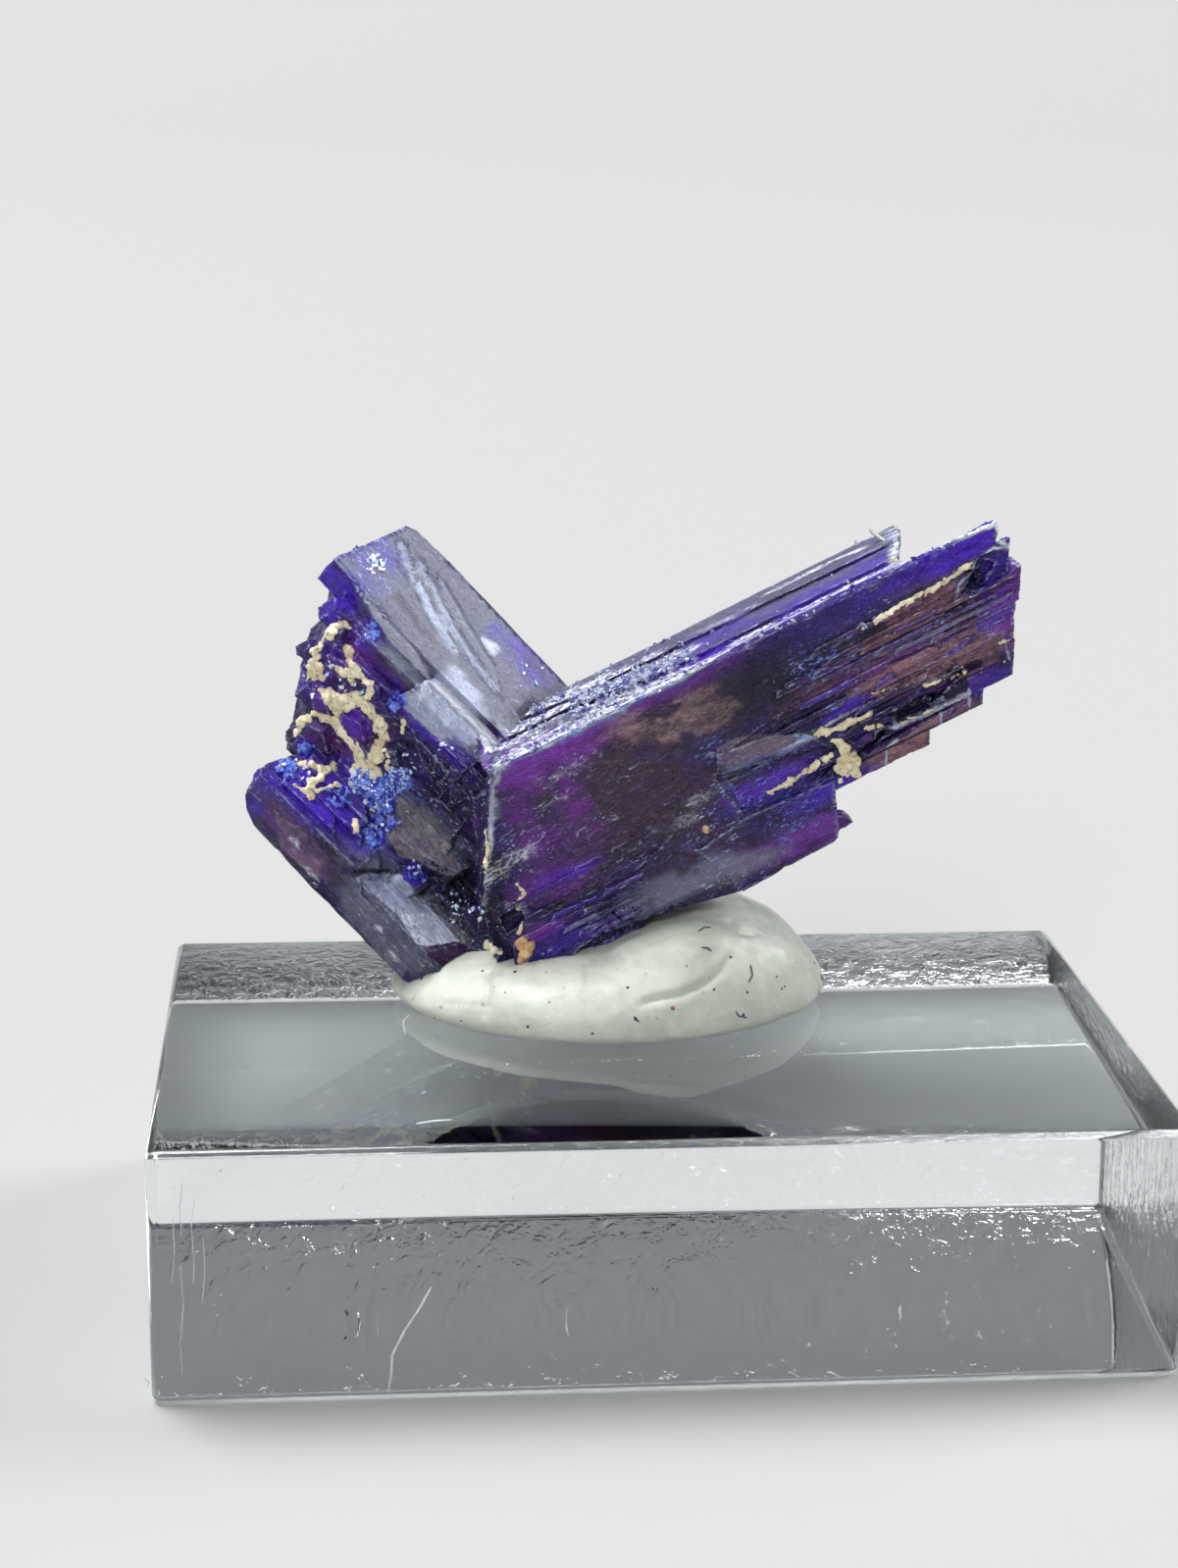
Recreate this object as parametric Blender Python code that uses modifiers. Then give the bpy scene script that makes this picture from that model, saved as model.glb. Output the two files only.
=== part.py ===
# Azurite crystal group on mineral tack and a clear acrylic base.
# Sizes are in millimetres here and become metres through MM. X runs along the base, Y away from the
# viewer, Z up, and the origin is under the middle of the base.

import math
import random

import bmesh
import bpy
from mathutils import Euler, Matrix, Vector

MM = 0.001
CLEARANCE = 0.3

# Clear base: a standard rectangular display block with polished edges.
BASE_LENGTH = 31.75
BASE_DEPTH = 19.05
BASE_HEIGHT = 8.2
BASE_EDGE = 0.3

# Mineral tack: a flattened oval roll. Its height over the base is given at places along the base.
TACK_CENTRE = (-0.95, 3.4)
TACK_RADII = (7.4, 5.35)
TACK_RIM = 0.4
TACK_PROFILE = ((-8.3, 1.0), (-6.6, 1.75), (-2.2, 2.25), (2.3, 3.45), (4.6, 3.0), (6.4, 2.2))
TACK_SQUARENESS = 0.5
TACK_FOLD_CENTRE = (0.45, 0.75, 10.35)
TACK_FOLD_RADII = (2.5, 1.75, 1.2)
TACK_FOLD_TILT = 19.0

# Each wing of the group has its own frame: along its crystals, into its depth, and up its face.
RIGHT_CORNER = (-4.95, 0.6, 17.0)
RIGHT_RISE = 26.8
LEFT_CORNER = (-4.64, 3.2, 17.46)
LEFT_TURN = (19.7, 41.4, -19.7)

# The group is flat below this height, where the tack hides it.
FOOT_HEIGHT = 9.1
RECESS_TOP = 13.5
ROOT_TOP = 11.6
ROOT_OUTLINE = ((-6.4, 2.9), (-4.6, 2.1), (-0.9, 1.9), (0.2, 2.4), (-0.3, 5.0), (-4.8, 5.4), (-6.2, 4.2))

RIGHT_FRAME = Matrix.Translation(Vector(RIGHT_CORNER) * MM) @ Matrix.Rotation(
    math.radians(-RIGHT_RISE), 4, "Y"
)
LEFT_FRAME = (
    Matrix.Translation(Vector(LEFT_CORNER) * MM)
    @ Euler([math.radians(angle) for angle in LEFT_TURN]).to_matrix().to_4x4()
)
WORLD_FRAME = Matrix.Identity(4)

# How an outline's own X, Y and Z lie in a wing's frame.
FACING = Matrix.Rotation(math.radians(90), 4, "X")
LENGTHWISE = Matrix(((0, 0, 1, 0), (1, 0, 0, 0), (0, 1, 0, 0), (0, 0, 0, 1)))


def clear_scene():
    for obj in list(bpy.data.objects):
        bpy.data.objects.remove(obj, do_unlink=True)


def new_collection(name):
    collection = bpy.data.collections.new(name)
    bpy.context.scene.collection.children.link(collection)
    return collection


def material(name, color, roughness, transmission=0.0, ior=1.5):
    made = bpy.data.materials.new(name)
    made.use_nodes = True
    shader = made.node_tree.nodes["Principled BSDF"]
    shader.inputs["Base Color"].default_value = (*color, 1.0)
    shader.inputs["Roughness"].default_value = roughness
    shader.inputs["Metallic"].default_value = 0.0
    shader.inputs["Transmission Weight"].default_value = transmission
    shader.inputs["IOR"].default_value = ior
    made.diffuse_color = (*color, 1.0)
    return made


def add_mesh(name, bm, frame, collection):
    """An object from a mesh in millimetres, placed by its frame."""
    mesh = bpy.data.meshes.new(name)
    bmesh.ops.recalc_face_normals(bm, faces=bm.faces)
    if bm.calc_volume(signed=True) < 0:
        bmesh.ops.reverse_faces(bm, faces=bm.faces)
    for face in bm.faces:
        face.smooth = False
    bm.to_mesh(mesh)
    bm.free()
    obj = bpy.data.objects.new(name, mesh)
    obj.matrix_world = frame @ Matrix.Scale(MM, 4)
    collection.objects.link(obj)
    return obj


def outline_mesh(outline, low, high):
    """A flat outline filled and given a thickness from low to high, as a bmesh in millimetres."""
    curve = bpy.data.curves.new("outline", "CURVE")
    curve.dimensions = "2D"
    curve.fill_mode = "BOTH"
    curve.extrude = (high - low) / 2
    spline = curve.splines.new("POLY")
    spline.points.add(len(outline) - 1)
    for point, (x, y) in zip(spline.points, outline):
        point.co = (x, y, 0, 1)
    spline.use_cyclic_u = True
    holder = bpy.data.objects.new("outline", curve)
    bpy.context.scene.collection.objects.link(holder)
    graph = bpy.context.evaluated_depsgraph_get()
    mesh = bpy.data.meshes.new_from_object(holder.evaluated_get(graph))
    bm = bmesh.new()
    bm.from_mesh(mesh)
    bpy.data.objects.remove(holder, do_unlink=True)
    bpy.data.meshes.remove(mesh)
    bmesh.ops.remove_doubles(bm, verts=bm.verts, dist=1e-5)
    bmesh.ops.dissolve_limit(bm, angle_limit=1e-4, verts=bm.verts, edges=bm.edges)
    bmesh.ops.translate(bm, vec=(0, 0, (low + high) / 2), verts=bm.verts)
    return bm


def cut_away(bm, point, normal):
    """Removes what lies beyond a plane and closes the cut."""
    geometry = list(bm.verts) + list(bm.edges) + list(bm.faces)
    bmesh.ops.bisect_plane(
        bm, geom=geometry, plane_co=point, plane_no=normal, clear_outer=True
    )
    bmesh.ops.holes_fill(bm, edges=[edge for edge in bm.edges if edge.is_boundary])


class Wing:
    """Crystals that share one frame. Coordinates are (along, depth, up) in millimetres."""

    def __init__(self, frame, collection):
        self.frame = frame
        self.collection = collection
        self.count = 0

    def place(self, bm, cuts):
        for point, normal in cuts:
            cut_away(bm, point, normal)
        self.count += 1
        return add_mesh(f"crystal_{self.count:02d}", bm, self.frame, self.collection)

    def shear(self, bm, slant, dip):
        for vert in bm.verts:
            vert.co.x += slant * vert.co.y + dip * vert.co.z

    def blade(self, outline, near, far, slant=0.0, cuts=()):
        """An (along, up) outline, near to far in depth, its ends leaning by slant."""
        bm = outline_mesh(outline, -far, -near)
        bm.transform(FACING)
        self.shear(bm, slant, 0.0)
        return self.place(bm, cuts)

    def slab(self, outline, low, high, dip=0.0, cuts=()):
        """An (along, depth) outline, low to high, its ends leaning by dip."""
        bm = outline_mesh(outline, low, high)
        self.shear(bm, 0.0, dip)
        return self.place(bm, cuts)

    def bar(self, section, start, end, slant=0.0, dip=0.0):
        """A (depth, up) section, start to end along the crystal."""
        bm = outline_mesh(section, start, end)
        bm.transform(LENGTHWISE)
        self.shear(bm, slant, dip)
        return self.place(bm, ())


def fill_pockets(bm):
    """Removes the inner shells that pieces leave where they enclose a small empty space."""
    unseen = set(bm.faces)
    shells = []
    while unseen:
        shell = [unseen.pop()]
        for face in shell:
            for edge in face.edges:
                for other in edge.link_faces:
                    if other in unseen:
                        unseen.remove(other)
                        shell.append(other)
        shells.append(shell)
    outer = max(shells, key=lambda shell: sum(face.calc_area() for face in shell))
    inner = [face for shell in shells if shell is not outer for face in shell]
    bmesh.ops.delete(bm, geom=inner, context="FACES")


def joined(name, pieces, cutters, helpers, collection):
    """One solid from overlapping pieces, less the cutters."""
    first, *others = pieces
    first.name = name
    for obj in others + cutters:
        obj.hide_render = True
        obj.display_type = "WIRE"
    union_of = bpy.data.collections.new(name + "_pieces")
    cut_by = bpy.data.collections.new(name + "_cutters")
    for group in (union_of, cut_by):
        helpers.children.link(group)
    for obj in others:
        union_of.objects.link(obj)
    for obj in cutters:
        cut_by.objects.link(obj)
    for obj in others + cutters:
        collection.objects.unlink(obj)
    for label, operation, operand in (("join", "UNION", union_of), ("cut", "DIFFERENCE", cut_by)):
        if operand.objects:
            modifier = first.modifiers.new(label, "BOOLEAN")
            modifier.operation = operation
            modifier.operand_type = "COLLECTION"
            modifier.collection = operand
            modifier.solver = "EXACT"
    bpy.context.view_layer.update()
    graph = bpy.context.evaluated_depsgraph_get()
    mesh = bpy.data.meshes.new_from_object(first.evaluated_get(graph))
    mesh.name = name
    first.modifiers.clear()
    bm = bmesh.new()
    bm.from_mesh(mesh)
    fill_pockets(bm)
    bm.transform(first.matrix_world)
    bm.to_mesh(mesh)
    bm.free()
    first.data = mesh
    first.matrix_world = Matrix.Identity(4)
    return first


def steps(start, stop, count):
    return [start + (stop - start) * i / (count - 1) for i in range(count)]


# Right wing: a thick stack of parallel plates, flat toward the viewer, stepped at its free end.
# Its free ends are cut upright in the world, so in the wing they lean by this much.
UPRIGHT = math.tan(math.radians(RIGHT_RISE))


def right_front_plates(wing):
    made = []
    made.append(
        wing.blade(
            [
                (-0.39, -0.3),
                (0.0, 0.0),
                (17.9, 0.0),
                (17.85, -0.3),
                (17.45, -0.8),
                (13.0, -1.2),
                (9.4, -2.6),
                (6.6, -2.9),
                (6.2, -3.6),
                (6.5, -5.1),
                (5.3, -7.45),
                (2.66, -6.93),
                (0.63, -6.64),
                (-0.3, -6.75),
                (-1.4, -7.3),
                (-2.7, -7.0),
                (-2.25, -5.67),
                (-2.7, -4.12),
                (-2.33, -3.67),
            ],
            0.0,
            1.28,
        )
    )
    # The bands below the top one each end a little differently, one step apart in depth.
    bands = (
        (-0.7, -1.75, 18.1, 0.12),
        (-1.68, -2.7, 18.06, 0.05),
        (-2.6, -3.95, 17.5, 0.16),
        (-3.85, -4.9, 16.9, 0.08),
        (-4.8, -5.4, 15.4, 0.22),
        (-5.3, -5.8, 13.2, 0.13),
    )
    for top, bottom, end, near in bands:
        reach = end + UPRIGHT * (bottom - top)
        made.append(
            wing.blade(
                [(4.0, top), (end, top), (reach, bottom), (4.0, bottom)], near, 1.5 + near
            )
        )
    # A raised plate in the middle of the face, and the lower blade with its squared end.
    made.append(
        wing.blade(
            [(6.54, -2.83), (8.36, -3.03), (9.58, -3.62), (9.88, -4.19), (6.27, -3.47)],
            -0.12,
            0.8,
        )
    )
    made.append(
        wing.blade(
            [(4.6, -5.5), (6.62, -5.16), (9.66, -5.38), (8.97, -7.29), (5.35, -7.46)],
            -0.1,
            2.2,
        )
    )
    made.append(
        wing.blade([(8.6, -6.2), (9.5, -6.75), (9.62, -7.05), (8.7, -7.2)], 0.1, 0.9)
    )
    return made


def right_core(wing):
    made = []
    made.append(
        wing.blade(
            [
                (-0.5, -0.5),
                (16.9, -0.55),
                (16.0, -3.6),
                (13.6, -5.15),
                (9.0, -5.65),
                (8.4, -7.05),
                (2.6, -6.75),
                (0.5, -8.3),
                (-3.4, -7.9),
                (-2.5, -3.7),
            ],
            0.5,
            2.0,
        )
    )
    made.append(
        wing.blade(
            [
                (-1.3, -1.0),
                (14.85, -0.9),
                (14.3, -2.3),
                (12.6, -3.9),
                (8.7, -5.2),
                (6.0, -6.5),
                (0.8, -8.0),
                (-3.2, -7.6),
                (-2.4, -3.6),
            ],
            1.85,
            4.4,
        )
    )
    return made


def right_top(wing):
    """The crusted band at the left of the top edge and the second plate's stepped roof."""
    made = []
    made.append(
        wing.slab([(-0.36, 0.03), (7.4, 0.03), (6.1, 0.62), (2.6, 2.36), (-0.6, 2.42)], -0.9, 0.05)
    )
    made.append(
        wing.slab(
            [(-1.6, 2.62), (2.7, 2.62), (6.3, 1.2), (15.3, 1.2), (15.3, 4.5), (-1.9, 4.5)],
            -1.2,
            0.14,
            dip=UPRIGHT,
        )
    )
    made.append(
        wing.slab([(3.0, 3.0), (15.15, 2.7), (15.15, 4.46), (-1.6, 4.46)], -0.5, 0.26, dip=UPRIGHT)
    )
    return made


def right_back(wing):
    """Further plates on the side away from the viewer, each shorter than the last."""
    chance = random.Random(11)
    made = []
    for index, depth in enumerate(steps(4.75, 5.7, 3)):
        end = 12.2 - 2.6 * index + chance.uniform(-0.4, 0.4)
        top = -0.55 - 0.55 * index
        bottom = -6.0 + 0.55 * index
        foot = -2.0 + 0.8 * index
        made.append(
            wing.blade(
                [
                    (foot + 1.2, top),
                    (end, top),
                    (end + UPRIGHT * (bottom - top) * 0.5, 0.5 * (top + bottom)),
                    (end - 4.2, bottom),
                    (foot - 0.6, bottom),
                ],
                4.2,
                depth,
            )
        )
    return made


def right_laths(wing):
    """Fine parallel laths that stand a little proud of the face toward its stepped end."""
    chance = random.Random(5)
    made = []
    for up in steps(-1.1, -5.0, 9):
        start = chance.uniform(8.6, 12.4)
        end = min(start + chance.uniform(2.0, 4.6), 16.6 + 0.45 * up)
        height = chance.uniform(0.14, 0.26)
        proud = chance.uniform(0.03, 0.1)
        made.append(
            wing.blade(
                [
                    (start, up),
                    (end, up + 0.05),
                    (end - 0.3, up - height),
                    (start - 0.5, up - height),
                ],
                -proud,
                0.6 + proud,
            )
        )
    for up in (-4.35, -4.95, -5.5):
        start = -1.9 + chance.uniform(0.0, 0.4)
        made.append(
            wing.blade(
                [(start, up), (2.9 + chance.uniform(-0.8, 0.8), up + 0.1), (2.6, up - 0.22), (start, up - 0.25)],
                -chance.uniform(0.04, 0.1),
                0.5,
            )
        )
    return made


def right_pits(wing):
    """Open pits and missing lath ends near the stepped end."""
    made = []
    made.append(wing.blade([(16.1, -1.55), (17.0, -0.95), (17.35, -1.25), (16.5, -1.8)], -0.4, 0.45))
    made.append(wing.blade([(13.6, -4.3), (14.9, -3.95), (14.8, -4.15), (13.5, -4.55)], -0.4, 0.4))
    made.append(wing.blade([(10.9, -4.95), (11.9, -4.55), (11.8, -4.8), (11.0, -5.15)], -0.4, 0.5))
    made.append(wing.blade([(-2.2, -4.6), (-1.4, -4.4), (-1.5, -5.0), (-2.2, -5.2)], -0.4, 0.35))
    return made


# Left wing: blocky prisms side by side, stepping down from a broad top prism to a rounded blade.


def left_top_prism(wing):
    made = []
    made.append(
        wing.slab(
            [
                (-8.15, 0.45),
                (-7.45, 4.25),
                (-7.1, 4.5),
                (-5.4, 4.52),
                (1.6, 4.1),
                (1.6, -0.02),
                (-5.0, 0.08),
            ],
            -1.15,
            0.0,
        )
    )
    made.append(wing.slab([(-7.0, 0.5), (-6.3, 3.7), (2.0, 3.6), (2.0, 0.3)], -3.2, -1.0))
    return made


def left_steps(wing):
    made = []
    # Second prism, beside the top one and a step lower.
    made.append(
        wing.bar(
            [(-0.68, -2.6), (1.2, -2.7), (1.2, -0.62), (0.1, -0.62), (-0.66, -0.5)],
            -5.5,
            0.5,
            slant=-0.38,
            dip=0.3,
        )
    )
    # Third prism, with a bright upper facet and a sloping one below it.
    made.append(
        wing.bar(
            [(-1.3, -3.4), (0.9, -3.5), (0.9, -0.45), (0.36, -0.24), (-0.38, -0.26), (-1.28, -1.0)],
            -2.95,
            0.35,
            slant=0.3,
        )
    )
    # Pointed dark prism under it.
    made.append(
        wing.blade(
            [(-2.55, -1.15), (2.4, -1.05), (3.4, -5.2), (0.2, -5.3), (-1.0, -2.65)],
            -1.12,
            0.8,
        )
    )
    made.append(wing.blade([(-2.2, -1.5), (-0.4, -1.62), (-0.2, -2.3), (-1.25, -2.25)], -1.38, 0.4))
    # Grey prism in the middle, ending in a lozenge.
    made.append(
        wing.slab(
            [
                (-1.28, -1.82),
                (-0.19, -1.1),
                (1.12, -0.9),
                (2.3, -1.4),
                (2.14, -2.05),
                (0.92, -2.66),
                (-0.26, -2.93),
            ],
            -5.7,
            -3.95,
        )
    )
    # Small knob at the top of the lower prism.
    made.append(
        wing.slab([(0.5, -3.0), (1.0, -2.5), (1.7, -2.6), (1.5, -3.3), (0.9, -3.4)], -5.8, -4.75)
    )
    return made


# The stack's short prisms from the top down: front depth, top, bottom and end.
STACK_ROWS = (
    (-0.45, -0.75, -1.6, -6.75),
    (-0.8, -1.5, -2.35, -6.55),
    (-1.15, -2.25, -3.1, -6.2),
    (-1.5, -3.0, -3.85, -5.75),
    (-1.9, -3.75, -4.55, -5.0),
    (-2.3, -4.45, -5.15, -4.55),
)
# Lozenges that stand a little proud of the stack: along, depth, up and half length.
STACK_CELLS = (
    (-6.25, -0.7, -1.3, 0.42),
    (-5.35, -0.92, -1.95, 0.62),
    (-4.25, -0.98, -1.62, 0.5),
    (-3.45, -1.1, -1.75, 0.42),
    (-5.3, -1.5, -3.2, 0.5),
    (-3.6, -1.45, -3.0, 0.66),
    (-4.35, -1.95, -4.05, 0.74),
    (-2.6, -1.5, -2.7, 0.42),
)


def left_stack(wing):
    """Short prisms that end in steps at the left, under the top prism."""
    chance = random.Random(3)
    made = []
    for near, top, bottom, end in STACK_ROWS:
        made.append(
            wing.bar(
                [
                    (near, bottom - 0.1),
                    (near + 3.2, bottom - 0.3),
                    (near + 3.1, top),
                    (near + 0.25, top + 0.05),
                    (near, top - 0.22),
                ],
                end + 0.35 * near,
                1.0 + 0.1 * near,
                slant=-0.4 + chance.uniform(-0.08, 0.08),
                dip=chance.uniform(0.0, 0.15),
            )
        )
        second = end + 0.35 * near + chance.uniform(0.9, 1.5)
        made.append(
            wing.bar(
                [
                    (near - 0.22, bottom + 0.12),
                    (near + 1.0, bottom - 0.05),
                    (near + 1.0, top - 0.15),
                    (near - 0.2, top - 0.28),
                ],
                second,
                second + chance.uniform(1.6, 2.3),
                slant=-0.5,
                dip=chance.uniform(-0.1, 0.3),
            )
        )
    for along, depth, up, size in STACK_CELLS:
        made.append(
            wing.blade(
                [
                    (along - size, up + 0.1 * size),
                    (along - 0.1 * size, up - 0.72 * size),
                    (along + size, up - 0.1 * size),
                    (along + 0.1 * size, up + 0.72 * size),
                ],
                depth - 0.26,
                depth + 0.9,
                slant=chance.uniform(-0.3, 0.1),
            )
        )
    # Knobs under the end of the top prism and along the stack's left edge.
    for along, depth, up, size in ((-6.55, -0.1, -1.0, 0.5), (-6.0, -0.8, -2.5, 0.36), (-3.75, -1.9, -4.6, 0.4)):
        made.append(
            wing.slab(
                [
                    (along - size, depth),
                    (along - 0.3 * size, depth - 0.8 * size),
                    (along + size, depth - 0.6 * size),
                    (along + 1.4 * size, depth + size),
                    (along, depth + 1.2 * size),
                ],
                up - 1.2 * size,
                up + 0.6 * size,
                dip=0.25,
            )
        )
    return made


def left_lower_blade(wing):
    made = []
    made.append(
        wing.blade(
            [
                (-4.95, -4.82),
                (-5.0, -5.15),
                (-4.76, -6.05),
                (-4.35, -6.55),
                (-3.9, -6.78),
                (-3.0, -6.86),
                (-1.4, -6.95),
                (3.3, -7.1),
                (6.2, -7.1),
                (6.2, -5.6),
                (0.4, -5.6),
                (-0.3, -4.8),
            ],
            -4.4,
            -2.2,
            cuts=(
                ((-4.98, -3.9, 0.0), (-1.0, 0.32, 0.0)),
                ((-4.98, -4.15, 0.0), (-1.0, -0.75, 0.0)),
            ),
        )
    )
    # Parallel ledges along the blade's upper face.
    for depth, up, start, end in (
        (-4.1, -4.66, -4.15, -1.7),
        (-3.55, -4.55, -4.3, -0.9),
        (-2.95, -4.42, -4.05, -1.2),
    ):
        made.append(
            wing.slab(
                [(start, depth), (end, depth + 0.05), (end - 0.5, depth + 0.7), (start - 0.1, depth + 0.7)],
                -5.4,
                up,
            )
        )
    # Lower prism, with a sloping facet down to its right end.
    made.append(
        wing.slab(
            [(-0.15, -4.3), (1.03, -3.06), (3.95, -2.56), (6.0, -2.0), (6.0, -3.6), (3.4, -4.5)],
            -7.0,
            -5.3,
            cuts=(((3.7, -3.4, -5.3), (0.62, -0.28, 0.75)),),
        )
    )
    return made


def left_core(wing):
    made = []
    made.append(
        wing.blade(
            [
                (-5.4, -1.3),
                (2.5, -0.9),
                (4.2, -4.0),
                (5.2, -6.9),
                (0.5, -6.9),
                (-3.4, -6.5),
                (-4.3, -4.9),
            ],
            -1.05,
            1.7,
            slant=-0.05,
        )
    )
    made.append(
        wing.blade(
            [(-3.9, -5.0), (4.6, -5.0), (6.0, -7.0), (0.5, -6.95), (-3.2, -6.6)], -2.4, 0.0
        )
    )
    return made


def left_back(wing):
    """Plates on the hidden side, stepping down from the top prism."""
    made = []
    for index, up in enumerate(steps(-1.5, -4.6, 3)):
        made.append(
            wing.slab(
                [
                    (-6.2 + 1.1 * index, 2.2),
                    (-5.8 + 1.2 * index, 3.4 - 0.4 * index),
                    (3.0, 3.5 - 0.35 * index),
                    (3.0, 2.0),
                ],
                up - 1.6,
                up,
            )
        )
    return made


def root_block(collection):
    """Where the two wings have grown together, mostly inside the tack."""
    world = Wing(WORLD_FRAME, collection)
    return [world.slab(ROOT_OUTLINE, FOOT_HEIGHT + 0.1, ROOT_TOP)]


def acrylic_base(collection):
    bm = bmesh.new()
    bmesh.ops.create_cube(bm, size=1.0)
    bmesh.ops.scale(bm, vec=(BASE_LENGTH, BASE_DEPTH, BASE_HEIGHT), verts=bm.verts)
    bmesh.ops.translate(bm, vec=(0, 0, BASE_HEIGHT / 2), verts=bm.verts)
    bm.transform(Matrix.Scale(MM, 4))
    mesh = bpy.data.meshes.new("acrylic_base")
    bm.to_mesh(mesh)
    bm.free()
    base = bpy.data.objects.new("acrylic_base", mesh)
    collection.objects.link(base)
    bevel = base.modifiers.new("edges", "BEVEL")
    bevel.width = BASE_EDGE * MM
    bevel.segments = 2
    base.data.materials.append(material("clear_acrylic", (0.93, 0.96, 0.97), 0.05, 1.0, 1.49))
    return base


def tack_height(x):
    """How high the roll stands over the base at this place along it."""
    for (x0, height0), (x1, height1) in zip(TACK_PROFILE, TACK_PROFILE[1:]):
        if x <= x1:
            share = min(max((x - x0) / (x1 - x0), 0.0), 1.0)
            share = share * share * (3 - 2 * share)
            return height0 + (height1 - height0) * share
    return TACK_PROFILE[-1][1]


def mineral_tack(collection, helpers, cutters):
    bm = bmesh.new()
    bmesh.ops.create_uvsphere(bm, u_segments=40, v_segments=20, radius=1.0)
    floor = BASE_HEIGHT + CLEARANCE
    for vert in bm.verts:
        reach = math.hypot(vert.co.x, vert.co.y)
        spread = max(reach, 1e-6) ** (TACK_SQUARENESS - 1.0) if reach else 0.0
        x = TACK_CENTRE[0] + TACK_RADII[0] * vert.co.x * spread
        y = TACK_CENTRE[1] + TACK_RADII[1] * vert.co.y * spread
        if vert.co.z > 0:
            z = TACK_RIM + (tack_height(x) - TACK_RIM) * vert.co.z
        else:
            z = TACK_RIM * (1 + max(vert.co.z / 0.5, -1.0))
        vert.co = Vector((x, y, floor + z))
    lump = add_mesh("mineral_tack", bm, WORLD_FRAME, collection)
    fold_mesh = bmesh.new()
    bmesh.ops.create_uvsphere(fold_mesh, u_segments=20, v_segments=12, radius=1.0)
    turn = Matrix.Rotation(math.radians(-TACK_FOLD_TILT), 4, "Y")
    size = Matrix.Diagonal((*TACK_FOLD_RADII, 1.0))
    centre = Matrix.Translation(Vector(TACK_FOLD_CENTRE))
    fold_mesh.transform(centre @ turn @ size)
    fold = add_mesh("tack_fold", fold_mesh, WORLD_FRAME, collection)
    tack = joined("mineral_tack", [lump, fold], cutters, helpers, collection)
    tack.data.materials.append(material("grey_tack", (0.52, 0.52, 0.47), 0.7))
    return tack


def tack_recess(group, collection):
    """The room that the group's foot takes in the tack: the foot, and the foot moved each way."""
    made = []
    for shift in ((0, 0, 0), (1, 0, 0), (-1, 0, 0), (0, 1, 0), (0, -1, 0), (0, 0, -1)):
        bm = bmesh.new()
        bm.from_mesh(group.data)
        bm.transform(Matrix.Scale(1 / MM, 4))
        cut_away(bm, (0, 0, RECESS_TOP), (0, 0, 1))
        bmesh.ops.translate(bm, vec=Vector(shift) * CLEARANCE, verts=bm.verts)
        made.append(add_mesh("recess", bm, WORLD_FRAME, collection))
    return made


def azurite_crystals(collection, helpers):
    right = Wing(RIGHT_FRAME, collection)
    left = Wing(LEFT_FRAME, collection)
    pieces = right_core(right) + right_front_plates(right) + right_top(right)
    pieces += right_back(right) + right_laths(right)
    pieces += left_core(left) + left_top_prism(left) + left_steps(left)
    pieces += left_stack(left) + left_lower_blade(left) + left_back(left)
    pieces += root_block(collection)
    cutters = right_pits(right)
    foot = Wing(WORLD_FRAME, collection)
    ground = [(-20, -20), (20, -20), (20, 20), (-20, 20)]
    cutters.append(foot.slab(ground, 0.0, FOOT_HEIGHT))
    group = joined("azurite_crystals", pieces, cutters, helpers, collection)
    group.data.materials.append(material("azurite", (0.06, 0.03, 0.3), 0.28))
    return group


def main():
    clear_scene()
    parts = new_collection("azurite crystal on base")
    helpers = new_collection("cutters")
    helpers.hide_render = True
    acrylic_base(parts)
    group = azurite_crystals(parts, helpers)
    mineral_tack(parts, helpers, tack_recess(group, parts))


main()
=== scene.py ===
# Looks of the azurite crystal group: crystals, crusts, tack, clear base, light and camera.
# Shapes are worked out in millimetres and become metres through MM.

import math
import random

import bmesh
import bpy
import numpy as np
from mathutils import Euler, Matrix, Vector, noise
from mathutils.bvhtree import BVHTree
from mathutils.kdtree import KDTree


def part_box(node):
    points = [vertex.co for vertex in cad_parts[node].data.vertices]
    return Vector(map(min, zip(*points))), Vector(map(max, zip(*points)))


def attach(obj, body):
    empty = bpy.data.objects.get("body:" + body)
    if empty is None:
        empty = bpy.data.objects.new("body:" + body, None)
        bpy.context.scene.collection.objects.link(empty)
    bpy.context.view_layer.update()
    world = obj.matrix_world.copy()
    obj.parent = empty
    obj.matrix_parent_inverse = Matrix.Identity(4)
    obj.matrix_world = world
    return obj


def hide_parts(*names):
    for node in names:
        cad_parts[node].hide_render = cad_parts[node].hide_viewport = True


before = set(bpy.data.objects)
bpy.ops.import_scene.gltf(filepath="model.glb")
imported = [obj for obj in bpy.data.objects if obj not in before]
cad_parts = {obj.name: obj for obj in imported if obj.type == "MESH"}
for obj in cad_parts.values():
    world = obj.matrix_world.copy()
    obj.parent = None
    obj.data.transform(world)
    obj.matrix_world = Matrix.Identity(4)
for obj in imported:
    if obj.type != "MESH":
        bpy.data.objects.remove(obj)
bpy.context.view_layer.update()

MM = 0.001
WELD = 0.002

# The photograph: its size and focal length in pixels, and the camera's angles in degrees.
PHOTO_WIDTH = 1201
PHOTO_HEIGHT = 1599
FOCAL = 2874.5
PITCH = 15.936
ROLL = 0.859
YAW = 5.284
CAMERA_PLACE = Vector((-10.06, -87.0, 41.59))
SENSOR = 36.0

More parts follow.
